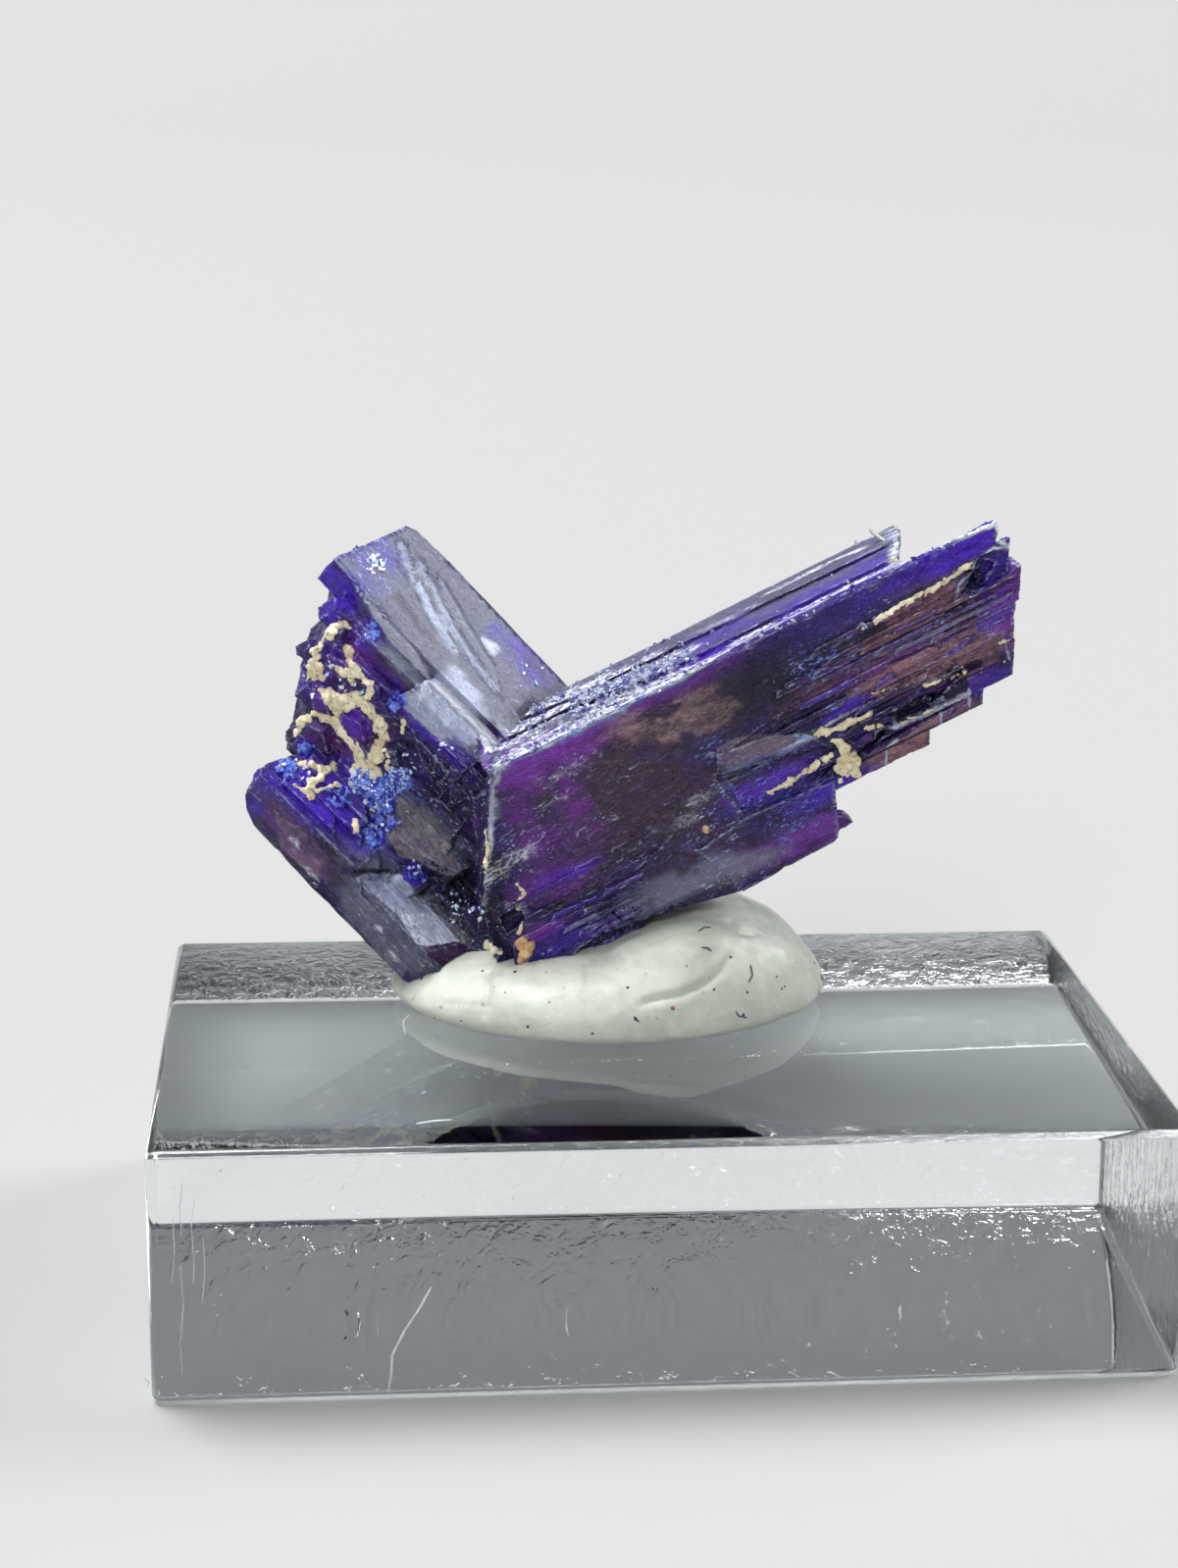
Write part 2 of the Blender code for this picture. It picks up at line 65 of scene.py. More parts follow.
# Each wing has its own frame, as in the solids: along its crystals, into its depth, up its face.
RIGHT_WING = Matrix.Translation((-4.95, 0.6, 17.0)) @ Matrix.Rotation(math.radians(-26.8), 4, "Y")
LEFT_TURN = Euler([math.radians(angle) for angle in (19.7, 41.4, -19.7)])
LEFT_WING = Matrix.Translation((-4.64, 3.2, 17.46)) @ LEFT_TURN.to_matrix().to_4x4()
TO_RIGHT = RIGHT_WING.inverted()
TO_LEFT = LEFT_WING.inverted()
LEFT_ROOF = LEFT_WING.to_3x3() @ Vector((0, 0, 1))
RIGHT_ROOF = RIGHT_WING.to_3x3() @ Vector((0, 0, 1))


def smooth_step(low, high, value):
    share = min(max((value - low) / (high - low), 0.0), 1.0)
    return share * share * (3 - 2 * share)


# Camera and photograph.

TO_CAMERA = (
    Matrix.Rotation(math.radians(ROLL), 3, "Y")
    @ Matrix.Rotation(math.radians(PITCH), 3, "X")
    @ Matrix.Rotation(math.radians(YAW), 3, "Z")
)


def sight(u, v):
    """Direction in which the camera sees a pixel of the photograph."""
    across = (u - PHOTO_WIDTH / 2) / FOCAL
    down = (v - PHOTO_HEIGHT / 2) / FOCAL
    return (TO_CAMERA.transposed() @ Vector((across, 1.0, -down))).normalized()


def seen(tree, u, v):
    """Where a pixel of the photograph falls on a surface, and the surface's normal there."""
    place, normal, _, _ = tree.ray_cast(CAMERA_PLACE, sight(u, v))
    return place, normal


def seen_near(tree, u, v):
    """The place seen at a pixel or, where the pixel misses the surface, at the nearest that hits."""
    for reach in range(0, 40, 4):
        for turn in range(8):
            angle = turn * math.pi / 4
            place, _ = seen(tree, u + reach * math.cos(angle), v + reach * math.sin(angle))
            if place is not None:
                return place
    return None


def make_camera():
    lens = bpy.data.cameras.new("camera")
    lens.sensor_width = SENSOR
    lens.lens = FOCAL * SENSOR / PHOTO_HEIGHT
    lens.clip_start = 0.005
    lens.clip_end = 50.0
    holder = bpy.data.objects.new("camera", lens)
    right, forward, up = TO_CAMERA[0], TO_CAMERA[1], TO_CAMERA[2]
    turn = Matrix((right, up, -forward)).transposed().to_4x4()
    holder.matrix_world = Matrix.Translation(CAMERA_PLACE * MM) @ turn
    bpy.context.scene.collection.objects.link(holder)
    bpy.context.scene.camera = holder


# Materials.


class Shader:
    """A material with a Principled surface and short ways to add nodes to it."""

    def __init__(self, name, **values):
        self.material = bpy.data.materials.new(name)
        self.material.use_nodes = True
        self.tree = self.material.node_tree
        self.surface = self.tree.nodes["Principled BSDF"]
        for label, value in values.items():
            self.surface.inputs[label.replace("_", " ")].default_value = value

    def add(self, kind, inputs, **settings):
        made = self.tree.nodes.new(kind)
        for label, value in settings.items():
            setattr(made, label, value)
        for label, value in inputs.items():
            if isinstance(value, bpy.types.NodeSocket):
                self.tree.links.new(value, made.inputs[label])
            else:
                made.inputs[label].default_value = value
        return made

    def position(self, scale=(1, 1, 1)):
        """The place on the object in millimetres, stretched by scale."""
        place = self.add("ShaderNodeTexCoord", {}).outputs["Object"]
        return self.stretched(place, [part / MM for part in scale])

    def stretched(self, vector, scale):
        return self.add("ShaderNodeMapping", {"Vector": vector, "Scale": scale}).outputs["Vector"]

    def attribute(self, name):
        return self.add("ShaderNodeAttribute", {}, attribute_name=name)

    def noise(self, vector, scale, detail=4.0, roughness=0.55, distortion=0.0):
        inputs = {
            "Vector": vector,
            "Scale": scale,
            "Detail": detail,
            "Roughness": roughness,
            "Distortion": distortion,
        }
        return self.add("ShaderNodeTexNoise", inputs).outputs["Fac"]

    def ranged(self, value, low, high, start=0.0, end=1.0):
        inputs = {"Value": value, "From Min": low, "From Max": high, "To Min": start, "To Max": end}
        return self.add("ShaderNodeMapRange", inputs, interpolation_type="SMOOTHSTEP").outputs["Result"]

    def maths(self, operation, first, second):
        made = self.add("ShaderNodeMath", {}, operation=operation)
        for socket, value in zip(made.inputs, (first, second)):
            if isinstance(value, bpy.types.NodeSocket):
                self.tree.links.new(value, socket)
            else:
                socket.default_value = value
        return made.outputs[0]

    def mix(self, share, first, second):
        made = self.add("ShaderNodeMix", {}, data_type="RGBA")
        for socket, value in zip((made.inputs[0], made.inputs[6], made.inputs[7]), (share, first, second)):
            if isinstance(value, bpy.types.NodeSocket):
                self.tree.links.new(value, socket)
            else:
                socket.default_value = value if isinstance(value, float) else (*value, 1.0)
        return made.outputs[2]

    def ramp(self, value, colours):
        """Even bands of colour, one for each step of a value from 0 to 1."""
        made = self.add("ShaderNodeValToRGB", {"Fac": value})
        made.color_ramp.interpolation = "CONSTANT"
        elements = made.color_ramp.elements
        while len(elements) < len(colours):
            elements.new(0.5)
        for index, colour in enumerate(colours):
            elements[index].position = index / len(colours)
            elements[index].color = (*colour, 1.0)
        return made.outputs["Color"]

    def colour(self, value):
        self.tree.links.new(value, self.surface.inputs["Base Color"])

    def rough(self, value):
        self.tree.links.new(value, self.surface.inputs["Roughness"])

    def bump(self, height, distance, strength=1.0):
        inputs = {"Height": height, "Distance": distance * MM, "Strength": strength}
        if self.surface.inputs["Normal"].links:
            inputs["Normal"] = self.surface.inputs["Normal"].links[0].from_socket
        made = self.add("ShaderNodeBump", inputs)
        self.tree.links.new(made.outputs["Normal"], self.surface.inputs["Normal"])


DEEP_BLUE = (0.036, 0.016, 0.14)
NEAR_BLACK = (0.005, 0.003, 0.02)
VIOLET = (0.07, 0.01, 0.6)
PURPLE = (0.22, 0.032, 0.42)
BRIGHT_BLUE = (0.14, 0.22, 0.75)
BROWN = (0.34, 0.22, 0.22)
DULL_BROWN = (0.06, 0.03, 0.045)
RED_BROWN = (0.32, 0.15, 0.16)
# The frost colours: frosted, etched faces, and painted sheen where the upper faces catch the light.
FROST_SHEEN = (0.5, 0.57, 0.76)
DIM_FROST_SHEEN = (0.2, 0.225, 0.29)
WISP = (0.28, 0.25, 0.52)
DEEP_FROST_SHEEN = (0.13, 0.11, 0.24)
# Etched flecks, with painted glints on them.
FLECK_GLINT = (0.62, 0.66, 0.85)
CYAN_TINT = (0.93, 0.975, 0.985, 1.0)
# Painted glints, and the brightest painted sheen.
SILVER_GLINT = (0.86, 0.9, 0.97)
LATH_COLOURS = (
    (0.02, 0.012, 0.06),
    (0.1, 0.04, 0.26),
    (0.32, 0.15, 0.16),
    (0.07, 0.02, 0.42),
    (0.2, 0.1, 0.14),
    (0.2, 0.21, 0.36),
)


def azurite_material():
    """Deep blue to purple-brown, by the zones painted on the mesh, with streaks along each wing, and with painted
    sheen, glints and shade.
    """
    made = Shader("azurite", IOR=1.6, Specular_IOR_Level=0.15, Coat_Weight=0.15, Coat_Roughness=0.07, Coat_IOR=1.6)
    grain = made.attribute("grain").outputs["Vector"]
    tones = made.attribute("tones")
    tone = made.add("ShaderNodeSeparateColor", {"Color": tones.outputs["Color"]})
    violet, purple, brown = tone.outputs[0], tone.outputs[1], tone.outputs[2]
    frost_sheen = tones.outputs["Alpha"]
    marks = made.attribute("marks")
    mark = made.add("ShaderNodeSeparateColor", {"Color": marks.outputs["Color"]})
    dark, fleck_glint, glitter = mark.outputs[0], mark.outputs[1], mark.outputs[2]
    silver_glint = marks.outputs["Alpha"]
    rim = made.attribute("rim").outputs["Fac"]
    lath = made.attribute("lath").outputs["Fac"]
    along = made.add("ShaderNodeSeparateXYZ", {"Vector": grain}).outputs["X"]

    streaks = made.noise(made.stretched(grain, (0.3, 1.4, 3.0)), 1.0, 6.0, 0.62, 0.4)
    bands = made.noise(made.stretched(grain, (0.16, 1.5, 4.6)), 1.0, 3.0, 0.5, 0.2)
    mottle = made.noise(made.stretched(grain, (0.9, 1.1, 1.6)), 1.7, 7.0, 0.7, 0.3)
    fine = made.noise(made.stretched(grain, (1.2, 5.0, 7.0)), 2.2, 5.0, 0.66, 0.8)
    strokes = made.noise(made.stretched(grain, (2.0, 4.0, 5.5)), 1.35, 3.0, 0.55, 1.8)
    worms = made.noise(made.stretched(grain, (1.6, 4.0, 5.0)), 1.4, 2.0, 0.5, 1.8)

    base = made.mix(made.ranged(mottle, 0.34, 0.62), NEAR_BLACK, DEEP_BLUE)
    earth = made.mix(made.maths("MULTIPLY", made.ranged(mottle, 0.4, 0.6, 0.3, 1.0), made.ranged(brown, 0.8, 1.0)), DULL_BROWN, BROWN)
    laths = made.maths("MULTIPLY", made.ranged(bands, 0.42, 0.6), made.ranged(along, 8.5, 11.0))
    earth = made.mix(laths, earth, RED_BROWN)
    base = made.mix(made.maths("MULTIPLY", brown, made.ranged(fine, 0.3, 0.55, 0.55, 1.0)), base, earth)
    base = made.mix(made.maths("MULTIPLY", purple, made.ranged(streaks, 0.32, 0.6, 0.3, 1.0)), base, PURPLE)
    base = made.mix(made.maths("MULTIPLY", violet, made.ranged(streaks, 0.32, 0.6, 0.3, 1.0)), base, VIOLET)
    lath_colour = made.ramp(lath, LATH_COLOURS)
    toned = made.maths("MULTIPLY", made.ranged(lath, 0.0, 0.02), made.ranged(fine, 0.36, 0.54, 0.25, 0.75))
    base = made.mix(toned, base, lath_colour)
    wisps = made.noise(made.stretched(grain, (1.1, 2.8, 3.4)), 2.0, 6.0, 0.72, 2.4)
    base = made.mix(made.ranged(wisps, 0.34, 0.5, 0.7, 0.0), base, NEAR_BLACK)
    base = made.mix(made.ranged(wisps, 0.54, 0.7, 0.0, 0.5), base, WISP)
    sheen = made.noise(made.stretched(grain, (0.14, 0.9, 1.5)), 1.0, 3.0, 0.45, 0.6)
    # The frost layer, grey through pale to silver: frosted faces, and painted sheen on the faces turned to the light.
    haze_and_sheen = made.mix(made.ranged(frost_sheen, 0.62, 1.0), DIM_FROST_SHEEN, FROST_SHEEN)
    haze_and_sheen = made.mix(made.ranged(frost_sheen, 1.0, 1.4), haze_and_sheen, SILVER_GLINT)
    haze_and_sheen = made.mix(made.ranged(sheen, 0.42, 0.62, 0.0, 0.35), haze_and_sheen, DEEP_FROST_SHEEN)
    haze_and_sheen = made.mix(made.ranged(wisps, 0.56, 0.7, 0.0, 0.5), haze_and_sheen, SILVER_GLINT)
    haze_and_sheen = made.mix(made.ranged(wisps, 0.34, 0.46, 0.5, 0.0), haze_and_sheen, DEEP_FROST_SHEEN)
    cover = made.maths("MULTIPLY", made.ranged(frost_sheen, 0.0, 0.75), made.ranged(violet, 0.2, 0.9, 1.0, 0.45))
    base = made.mix(made.maths("MULTIPLY", cover, made.ranged(fine, 0.3, 0.5, 0.85, 1.0)), base, haze_and_sheen)
    # The dark layer: partly dark tone, partly painted shade in gaps, grooves and slots.
    base = made.mix(made.maths("MULTIPLY", dark, made.ranged(fine, 0.3, 0.7, 1.0, 0.5)), base, NEAR_BLACK)
    base = made.mix(made.maths("MULTIPLY", glitter, made.ranged(strokes, 0.54, 0.62)), base, BRIGHT_BLUE)
    # Etched flecks, partly painted glints.
    base = made.mix(made.maths("MULTIPLY", fleck_glint, made.ranged(strokes, 0.6, 0.66, 0.0, 0.8)), base, FLECK_GLINT)
    # Painted edge highlight: pale frost along the sharp, partly chipped edges.
    base = made.mix(made.maths("MULTIPLY", rim, made.ranged(fine, 0.46, 0.62, 0.0, 0.8)), base, FROST_SHEEN)
    # Painted glints: silver wrinkles where the silver layer is strong.
    wrinkle_glints = made.maths("MULTIPLY", made.ranged(silver_glint, 0.15, 0.75), made.ranged(worms, 0.46, 0.57, 0.06, 1.0))
    made.colour(made.mix(wrinkle_glints, base, SILVER_GLINT))

    wear = made.ranged(mottle, 0.35, 0.65, 0.12, 0.3)
    made.rough(made.maths("ADD", wear, made.maths("MULTIPLY", frost_sheen, 0.2)))
    ridges = made.noise(made.stretched(grain, (0.5, 5.0, 9.0)), 1.0, 5.0, 0.6, 0.3)
    made.bump(ridges, 0.05, made.ranged(frost_sheen, 0.0, 0.7, 0.8, 0.25))
    made.bump(made.ranged(worms, 0.4, 0.62), 0.04, 0.5)
    made.bump(made.ranged(strokes, 0.5, 0.64), 0.04, 0.7)
    made.bump(wisps, 0.05, 0.5)
    made.bump(made.noise(made.stretched(grain, (4.0, 9.0, 9.0)), 1.6, 3.0, 0.6), 0.02, 0.5)
    return made.material


def druse_material(name, color, deep, roughness):
    """Small crystals that scatter light: a frosty skin over blue."""
    made = Shader(name, Roughness=roughness, IOR=1.6)
    spots = made.noise(made.position(), 2.6, 4.0)
    made.colour(made.mix(made.ranged(spots, 0.38, 0.62), deep, color))
    made.bump(made.noise(made.position(), 14.0, 2.0), 0.01, 0.5)
    return made.material


def clay_material():
    made = Shader("cream_clay", Roughness=0.85)
    place = made.position()
    patches = made.noise(place, 1.7, 6.0, 0.6)
    pale = made.mix(made.ranged(patches, 0.35, 0.65), (0.7, 0.6, 0.38), (0.9, 0.83, 0.6))
    # Painted shade: dark specks where the clay's small holes lie in shadow.
    pits = made.ranged(made.noise(place, 9.0, 3.0), 0.3, 0.42)
    made.colour(made.mix(pits, (0.2, 0.15, 0.12), pale))
    made.bump(made.noise(place, 12.0, 4.0), 0.04, 0.8)
    return made.material


def ochre_material():
    made = Shader("ochre", Roughness=0.7)
    patches = made.noise(made.position(), 2.2, 5.0, 0.6)
    made.colour(made.mix(made.ranged(patches, 0.35, 0.6), (0.36, 0.2, 0.09), (0.8, 0.56, 0.3)))
    made.bump(made.noise(made.position(), 9.0, 3.0), 0.05, 0.8)
    return made.material


def tack_material():
    """Soft grey-white tack: matte, slightly waxy, with faint smudges and pressed marks."""
    made = Shader(
        "grey_tack",
        Roughness=0.55,
        Subsurface_Weight=0.12,
        Subsurface_Scale=0.4 * MM,
        Subsurface_Radius=(1.0, 0.9, 0.75),
    )
    place = made.position()
    smudge = made.noise(place, 0.45, 5.0, 0.6, 0.6)
    pale = made.mix(made.ranged(smudge, 0.35, 0.65), (0.52, 0.55, 0.48), (0.68, 0.71, 0.63))
    grime = made.ranged(made.noise(place, 3.4, 3.0, 0.5), 0.68, 0.76)
    made.colour(made.mix(made.maths("MULTIPLY", grime, 0.55), pale, (0.16, 0.15, 0.14)))
    made.rough(made.ranged(made.noise(place, 1.3, 4.0), 0.3, 0.7, 0.34, 0.58))
    made.bump(made.noise(place, 0.9, 3.0, 0.5), 0.12, 0.5)
    made.bump(made.noise(place, 7.0, 4.0, 0.6), 0.02, 0.6)
    return made.material


def clear_material():
    """Polished clear acrylic with a trace of cyan."""
    made = Shader("clear_acrylic", Base_Color=CYAN_TINT, Roughness=0.012, IOR=1.49, Transmission_Weight=1.0)
    scuffs = made.noise(made.position((0.4, 3.0, 3.0)), 1.4, 7.0, 0.72, 0.8)
    made.rough(made.ranged(scuffs, 0.6, 0.74, 0.0, 0.16))
    return made.material


def sawn_material():
    """The block's back and ends: clear, but unevenly cut, so that they blur what is behind."""
    made = Shader("sawn_acrylic", Base_Color=CYAN_TINT, Roughness=0.1, IOR=1.49, Transmission_Weight=1.0)
    dimples = made.noise(made.position((1.0, 1.0, 0.8)), 1.5, 3.0, 0.6, 0.6)
    made.bump(dimples, 0.16, 1.0)
    made.bump(made.noise(made.position((0.6, 3.0, 3.0)), 2.0, 4.0), 0.02, 0.5)
    return made.material


def plain_material(name, color, roughness):
    made = Shader(name, Roughness=roughness)
    shade = made.noise(made.position(), 3.0, 3.0)
    darker = tuple(part * 0.7 for part in color)
    made.colour(made.mix(made.ranged(shade, 0.3, 0.7), darker, color))
    return made.material


# Mesh helpers.


def add_piece(name, bm, materials):
    """An object from a mesh in millimetres, riding with the rest of the object."""
    mesh = bpy.data.meshes.new(name)
    bm.transform(Matrix.Scale(MM, 4))
    bm.to_mesh(mesh)
    bm.free()
    for material in materials:
        mesh.materials.append(material)
    piece = bpy.data.objects.new(name, mesh)
    bpy.context.scene.collection.objects.link(piece)
    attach(piece, "root")
    return piece


def remeshed(bm, voxel, smoothing):
    """One skin round overlapping lumps, as a new bmesh in millimetres."""
    mesh = bpy.data.meshes.new("lumps")
    bm.to_mesh(mesh)
    bm.free()
    holder = bpy.data.objects.new("lumps", mesh)
    bpy.context.scene.collection.objects.link(holder)
    skin = holder.modifiers.new("skin", "REMESH")
    skin.mode = "VOXEL"
    skin.voxel_size = voxel
    graph = bpy.context.evaluated_depsgraph_get()
    made = bmesh.new()
    made.from_object(holder, graph)
    bpy.data.objects.remove(holder, do_unlink=True)
    bpy.data.meshes.remove(mesh)
    for _ in range(smoothing):
        bmesh.ops.smooth_vert(made, verts=made.verts, factor=0.5, use_axis_x=True, use_axis_y=True, use_axis_z=True)
    return made


def solid_holder(name, bm):
    mesh = bpy.data.meshes.new(name)
    bm.to_mesh(mesh)
    bm.free()
    holder = bpy.data.objects.new(name, mesh)
    bpy.context.scene.collection.objects.link(holder)
    return holder


def node_mesh(name):
    """A node's solid as a mesh in millimetres."""
    made = bmesh.new()
    made.from_mesh(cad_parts[name].data)
    made.transform(Matrix.Scale(1 / MM, 4))
    bmesh.ops.remove_doubles(made, verts=made.verts, dist=WELD)
    return made


def without(bm, cutter_mesh):
    """A mesh less another, both in millimetres, as a new mesh."""
    cutter = solid_holder("cutter", cutter_mesh)
    holder = solid_holder("uncut", bm)
    cut = holder.modifiers.new("cut", "BOOLEAN")
    cut.operation = "DIFFERENCE"
    cut.solver = "EXACT"
    cut.object = cutter
    made = bmesh.new()
    made.from_object(holder, bpy.context.evaluated_depsgraph_get())
    for helper in (holder, cutter):
        mesh = helper.data
        bpy.data.objects.remove(helper, do_unlink=True)
        bpy.data.meshes.remove(mesh)
    return made


def shade(piece, angle):
    """Smooth shading with edges sharper than an angle in degrees kept crisp."""
    mesh = piece.data
    mesh.shade_smooth()
    mesh.set_sharp_from_angle(angle=math.radians(angle))


# Crystals. Zones of colour are ellipsoids whose middle is seen at a pixel of the photograph: the
# pixel, half length along the wing and half width across it in mm, and strength.

VIOLET_ZONES = (
    ((999, 547), 1.8, 0.5, 1.0),
    ((963, 562), 2.0, 0.45, 0.6),
    ((920, 590), 1.6, 0.4, 0.5),
    ((881, 611), 1.6, 0.5, 0.4),
    ((832, 640), 1.8, 0.5, 0.25),
    ((908, 566), 1.5, 0.35, 1.0),
    ((823, 608), 2.0, 0.3, 0.8),
    ((757, 650), 1.6, 0.25, 0.6),
    ((866, 722), 1.0, 0.25, 0.9),
    ((575, 893), 1.2, 0.2, 0.7),
    ((590, 950), 1.8, 0.4, 0.5),
    ((848, 805), 1.2, 0.35, 0.8),
    ((790, 800), 1.6, 0.4, 0.6),
    ((1005, 696), 0.8, 0.3, 0.4),
    ((1012, 600), 0.5, 0.6, 0.5),
    ((340, 595), 0.9, 0.7, 0.9),
    ((337, 622), 0.5, 0.5, 1.0),
    ((380, 648), 0.5, 0.4, 1.0),
    ((385, 575), 0.7, 0.45, 0.9),
    ((552, 675), 1.4, 0.5, 0.9),
    ((745, 648), 2.0, 0.5, 0.8),
    ((800, 622), 2.0, 0.4, 0.8),
    ((507, 642), 0.35, 0.3, 0.8),
    ((440, 747), 1.6, 0.35, 0.9),
    ((427, 737), 0.6, 0.3, 0.9),
    ((465, 772), 1.2, 0.35, 0.7),
    ((300, 802), 0.9, 0.4, 1.0),
    ((335, 825), 1.1, 0.5, 1.0),
    ((380, 855), 0.6, 0.4, 0.8),
    ((265, 802), 0.5, 0.5, 0.6),
    ((256, 827), 0.3, 0.8, 0.6),
    ((425, 892), 0.6, 0.5, 1.0),
    ((362, 737), 0.5, 0.6, 0.6),
    ((337, 670), 0.5, 0.5, 0.5),
    ((315, 762), 0.4, 0.3, 0.8),
    ((310, 790), 0.6, 0.3, 0.8),
    ((502, 760), 0.4, 0.4, 0.7),
    ((400, 877), 0.7, 0.4, 0.5),
    ((308, 690), 0.4, 1.2, 0.4),
    ((330, 655), 0.6, 0.5, 0.5),
    ((322, 706), 0.5, 0.5, 0.5),
    ((400, 705), 0.5, 0.4, 0.5),
    ((385, 690), 0.5, 0.4, 0.4),
    ((350, 790), 0.8, 0.4, 0.7),
)
PURPLE_ZONES = (
    ((345, 675), 0.7, 0.6, 0.6),
    ((340, 700), 0.6, 0.5, 0.6),
    ((362, 740), 0.7, 0.6, 0.7),
    ((335, 762), 0.8, 0.6, 0.7),
    ((372, 662), 0.7, 0.6, 0.6),
    ((395, 675), 0.9, 0.4, 0.5),
    ((300, 850), 1.4, 0.5, 0.4),
    ((551, 773), 2.0, 0.55, 1.3),
    ((530, 790), 1.0, 0.5, 1.2),
    ((678, 702), 2.0, 0.35, 0.6),
    ((720, 683), 1.6, 0.4, 0.6),
    ((517, 812), 0.5, 2.4, 0.7),
    ((590, 823), 0.4, 1.2, 0.6),
    ((1034, 602), 0.8, 1.6, 1.0),
    ((1029, 640), 0.6, 0.8, 0.8),
    ((832, 850), 1.4, 0.4, 0.9),
    ((793, 795), 1.2, 0.3, 0.5),
    ((544, 955), 0.9, 0.25, 0.8),
    ((926, 665), 2.4, 0.25, 0.5),
    ((555, 900), 1.6, 0.5, 0.6),
    ((780, 870), 2.0, 0.5, 0.5),
    ((560, 860), 1.4, 0.6, 0.5),
    ((940, 720), 1.6, 0.3, 0.5),
)
BROWN_ZONES = (
    ((640, 738), 1.4, 0.5, 1.0),
    ((702, 731), 2.4, 0.9, 1.0),
    ((660, 746), 1.8, 0.8, 0.9),
    ((626, 811), 2.4, 1.6, 0.8),
    ((672, 823), 2.2, 1.4, 0.8),
    ((611, 868), 2.0, 0.8, 0.7),
    ((702, 868), 2.0, 0.8, 0.6),
    ((757, 874), 1.4, 0.6, 0.5),
    ((757, 764), 1.1, 0.4, 0.8),
    ((929, 680), 2.6, 0.5, 1.0),
    ((999, 661), 1.6, 0.5, 1.0),
    ((926, 774), 1.6, 0.4, 1.0),
    ((969, 746), 1.0, 0.35, 0.9),
    ((899, 658), 1.6, 0.5, 0.6),
    ((838, 704), 1.8, 0.4, 0.7),
    ((945, 622), 1.4, 0.35, 0.5),
    ((290, 834), 1.0, 0.5, 0.8),
    ((322, 872), 1.4, 0.6, 0.9),
    ((355, 822), 0.6, 0.2, 0.7),
    ((395, 677), 0.8, 0.4, 0.6),
    ((345, 762), 0.7, 0.4, 0.6),
    ((945, 645), 2.6, 1.1, 0.75),
    ((900, 690), 2.0, 0.7, 0.7),
)
# Frost zones: frosted haze, and painted sheen on faces turned to the light.
FROST_SHEEN_ZONES = (
    ((702, 904), 2.4, 0.5, 0.5),
    ((748, 889), 1.6, 0.4, 0.5),
    ((657, 913), 1.6, 0.4, 0.4),
    ((757, 774), 0.9, 0.3, 0.4),
    ((817, 755), 0.8, 0.15, 0.9),
    ((415, 664), 1.6, 0.4, 0.8),
    ((472, 727), 1.9, 0.55, 1.0),
    ((440, 727), 0.9, 0.4, 0.8),
    ((427, 854), 1.7, 0.6, 0.5),
    ((390, 912), 1.6, 0.7, 0.8),
    ((427, 942), 2.0, 0.8, 0.8),
    ((370, 930), 1.4, 0.8, 0.5),
    ((400, 960), 1.2, 0.8, 0.4),
)
# Dark zones: partly dark tone, partly painted shade in gaps and slots, and a painted shadow along the lower edge.
DARK_AND_SHADE_ZONES = (
    ((781, 692), 1.6, 1.0, 1.0),
    ((811, 674), 1.4, 0.8, 0.9),
    ((757, 710), 1.0, 0.4, 0.6),
    ((845, 643), 1.0, 0.6, 0.6),
    ((887, 643), 0.8, 0.3, 0.5),
    ((923, 728), 0.8, 0.2, 1.0),
    ((951, 715), 0.9, 0.2, 1.0),
    ((902, 746), 0.3, 0.3, 1.0),
    ((975, 682), 0.4, 0.2, 1.0),
    ((1005, 582), 0.5, 0.5, 0.7),
    ((508, 931), 0.6, 0.8, 0.9),
    ((702, 928), 2.0, 0.2, 0.9),
    ((596, 964), 1.6, 0.2, 0.8),
    ((457, 980), 1.4, 0.4, 0.9),
    ((462, 905), 1.4, 0.6, 1.0),
    ((480, 935), 1.6, 0.8, 1.0),
    ((500, 960), 1.2, 0.7, 1.0),
    ((465, 822), 1.8, 0.7, 0.35),
    ((497, 822), 1.0, 1.0, 0.6),
    ((340, 700), 0.25, 0.25, 0.9),
    ((335, 762), 0.6, 0.5, 0.7),
    ((337, 677), 0.4, 0.4, 0.5),
    ((490, 790), 0.8, 0.3, 0.9),
    ((400, 684), 0.8, 0.4, 0.5),
)
# Fleck zones: etched flecks whose pale strokes are partly painted glints.
FLECK_GLINT_ZONES = (
    ((581, 787), 0.8, 0.35, 1.0),
    ((560, 814), 0.9, 0.4, 0.8),
    ((532, 868), 1.3, 0.7, 1.0),
    ((708, 826), 0.8, 0.6, 1.0),
    ((617, 835), 0.4, 0.2, 1.0),
    ((641, 787), 0.6, 0.3, 0.5),
    ((732, 853), 1.2, 0.7, 0.7),
    ((808, 687), 0.9, 0.5, 0.5),
    ((899, 617), 0.8, 0.3, 0.8),
    ((748, 893), 1.6, 0.4, 0.8),
    ((884, 690), 2.0, 0.5, 0.4),
    ((970, 650), 2.0, 0.8, 0.4),
    ((672, 862), 2.0, 0.4, 0.5),
    ((310, 857), 1.0, 0.3, 1.0),
    ((322, 895), 0.5, 0.3, 1.0),
    ((445, 950), 1.8, 0.6, 1.0),
    ((385, 945), 1.2, 0.8, 0.7),
    ((465, 925), 1.8, 0.9, 0.5),
    ((500, 690), 1.4, 0.5, 0.4),
    ((385, 575), 0.7, 0.4, 1.0),
    ((267, 807), 0.5, 0.5, 0.6),
    ((470, 800), 2.0, 0.9, 0.8),
    ((480, 860), 1.6, 0.6, 0.6),
)
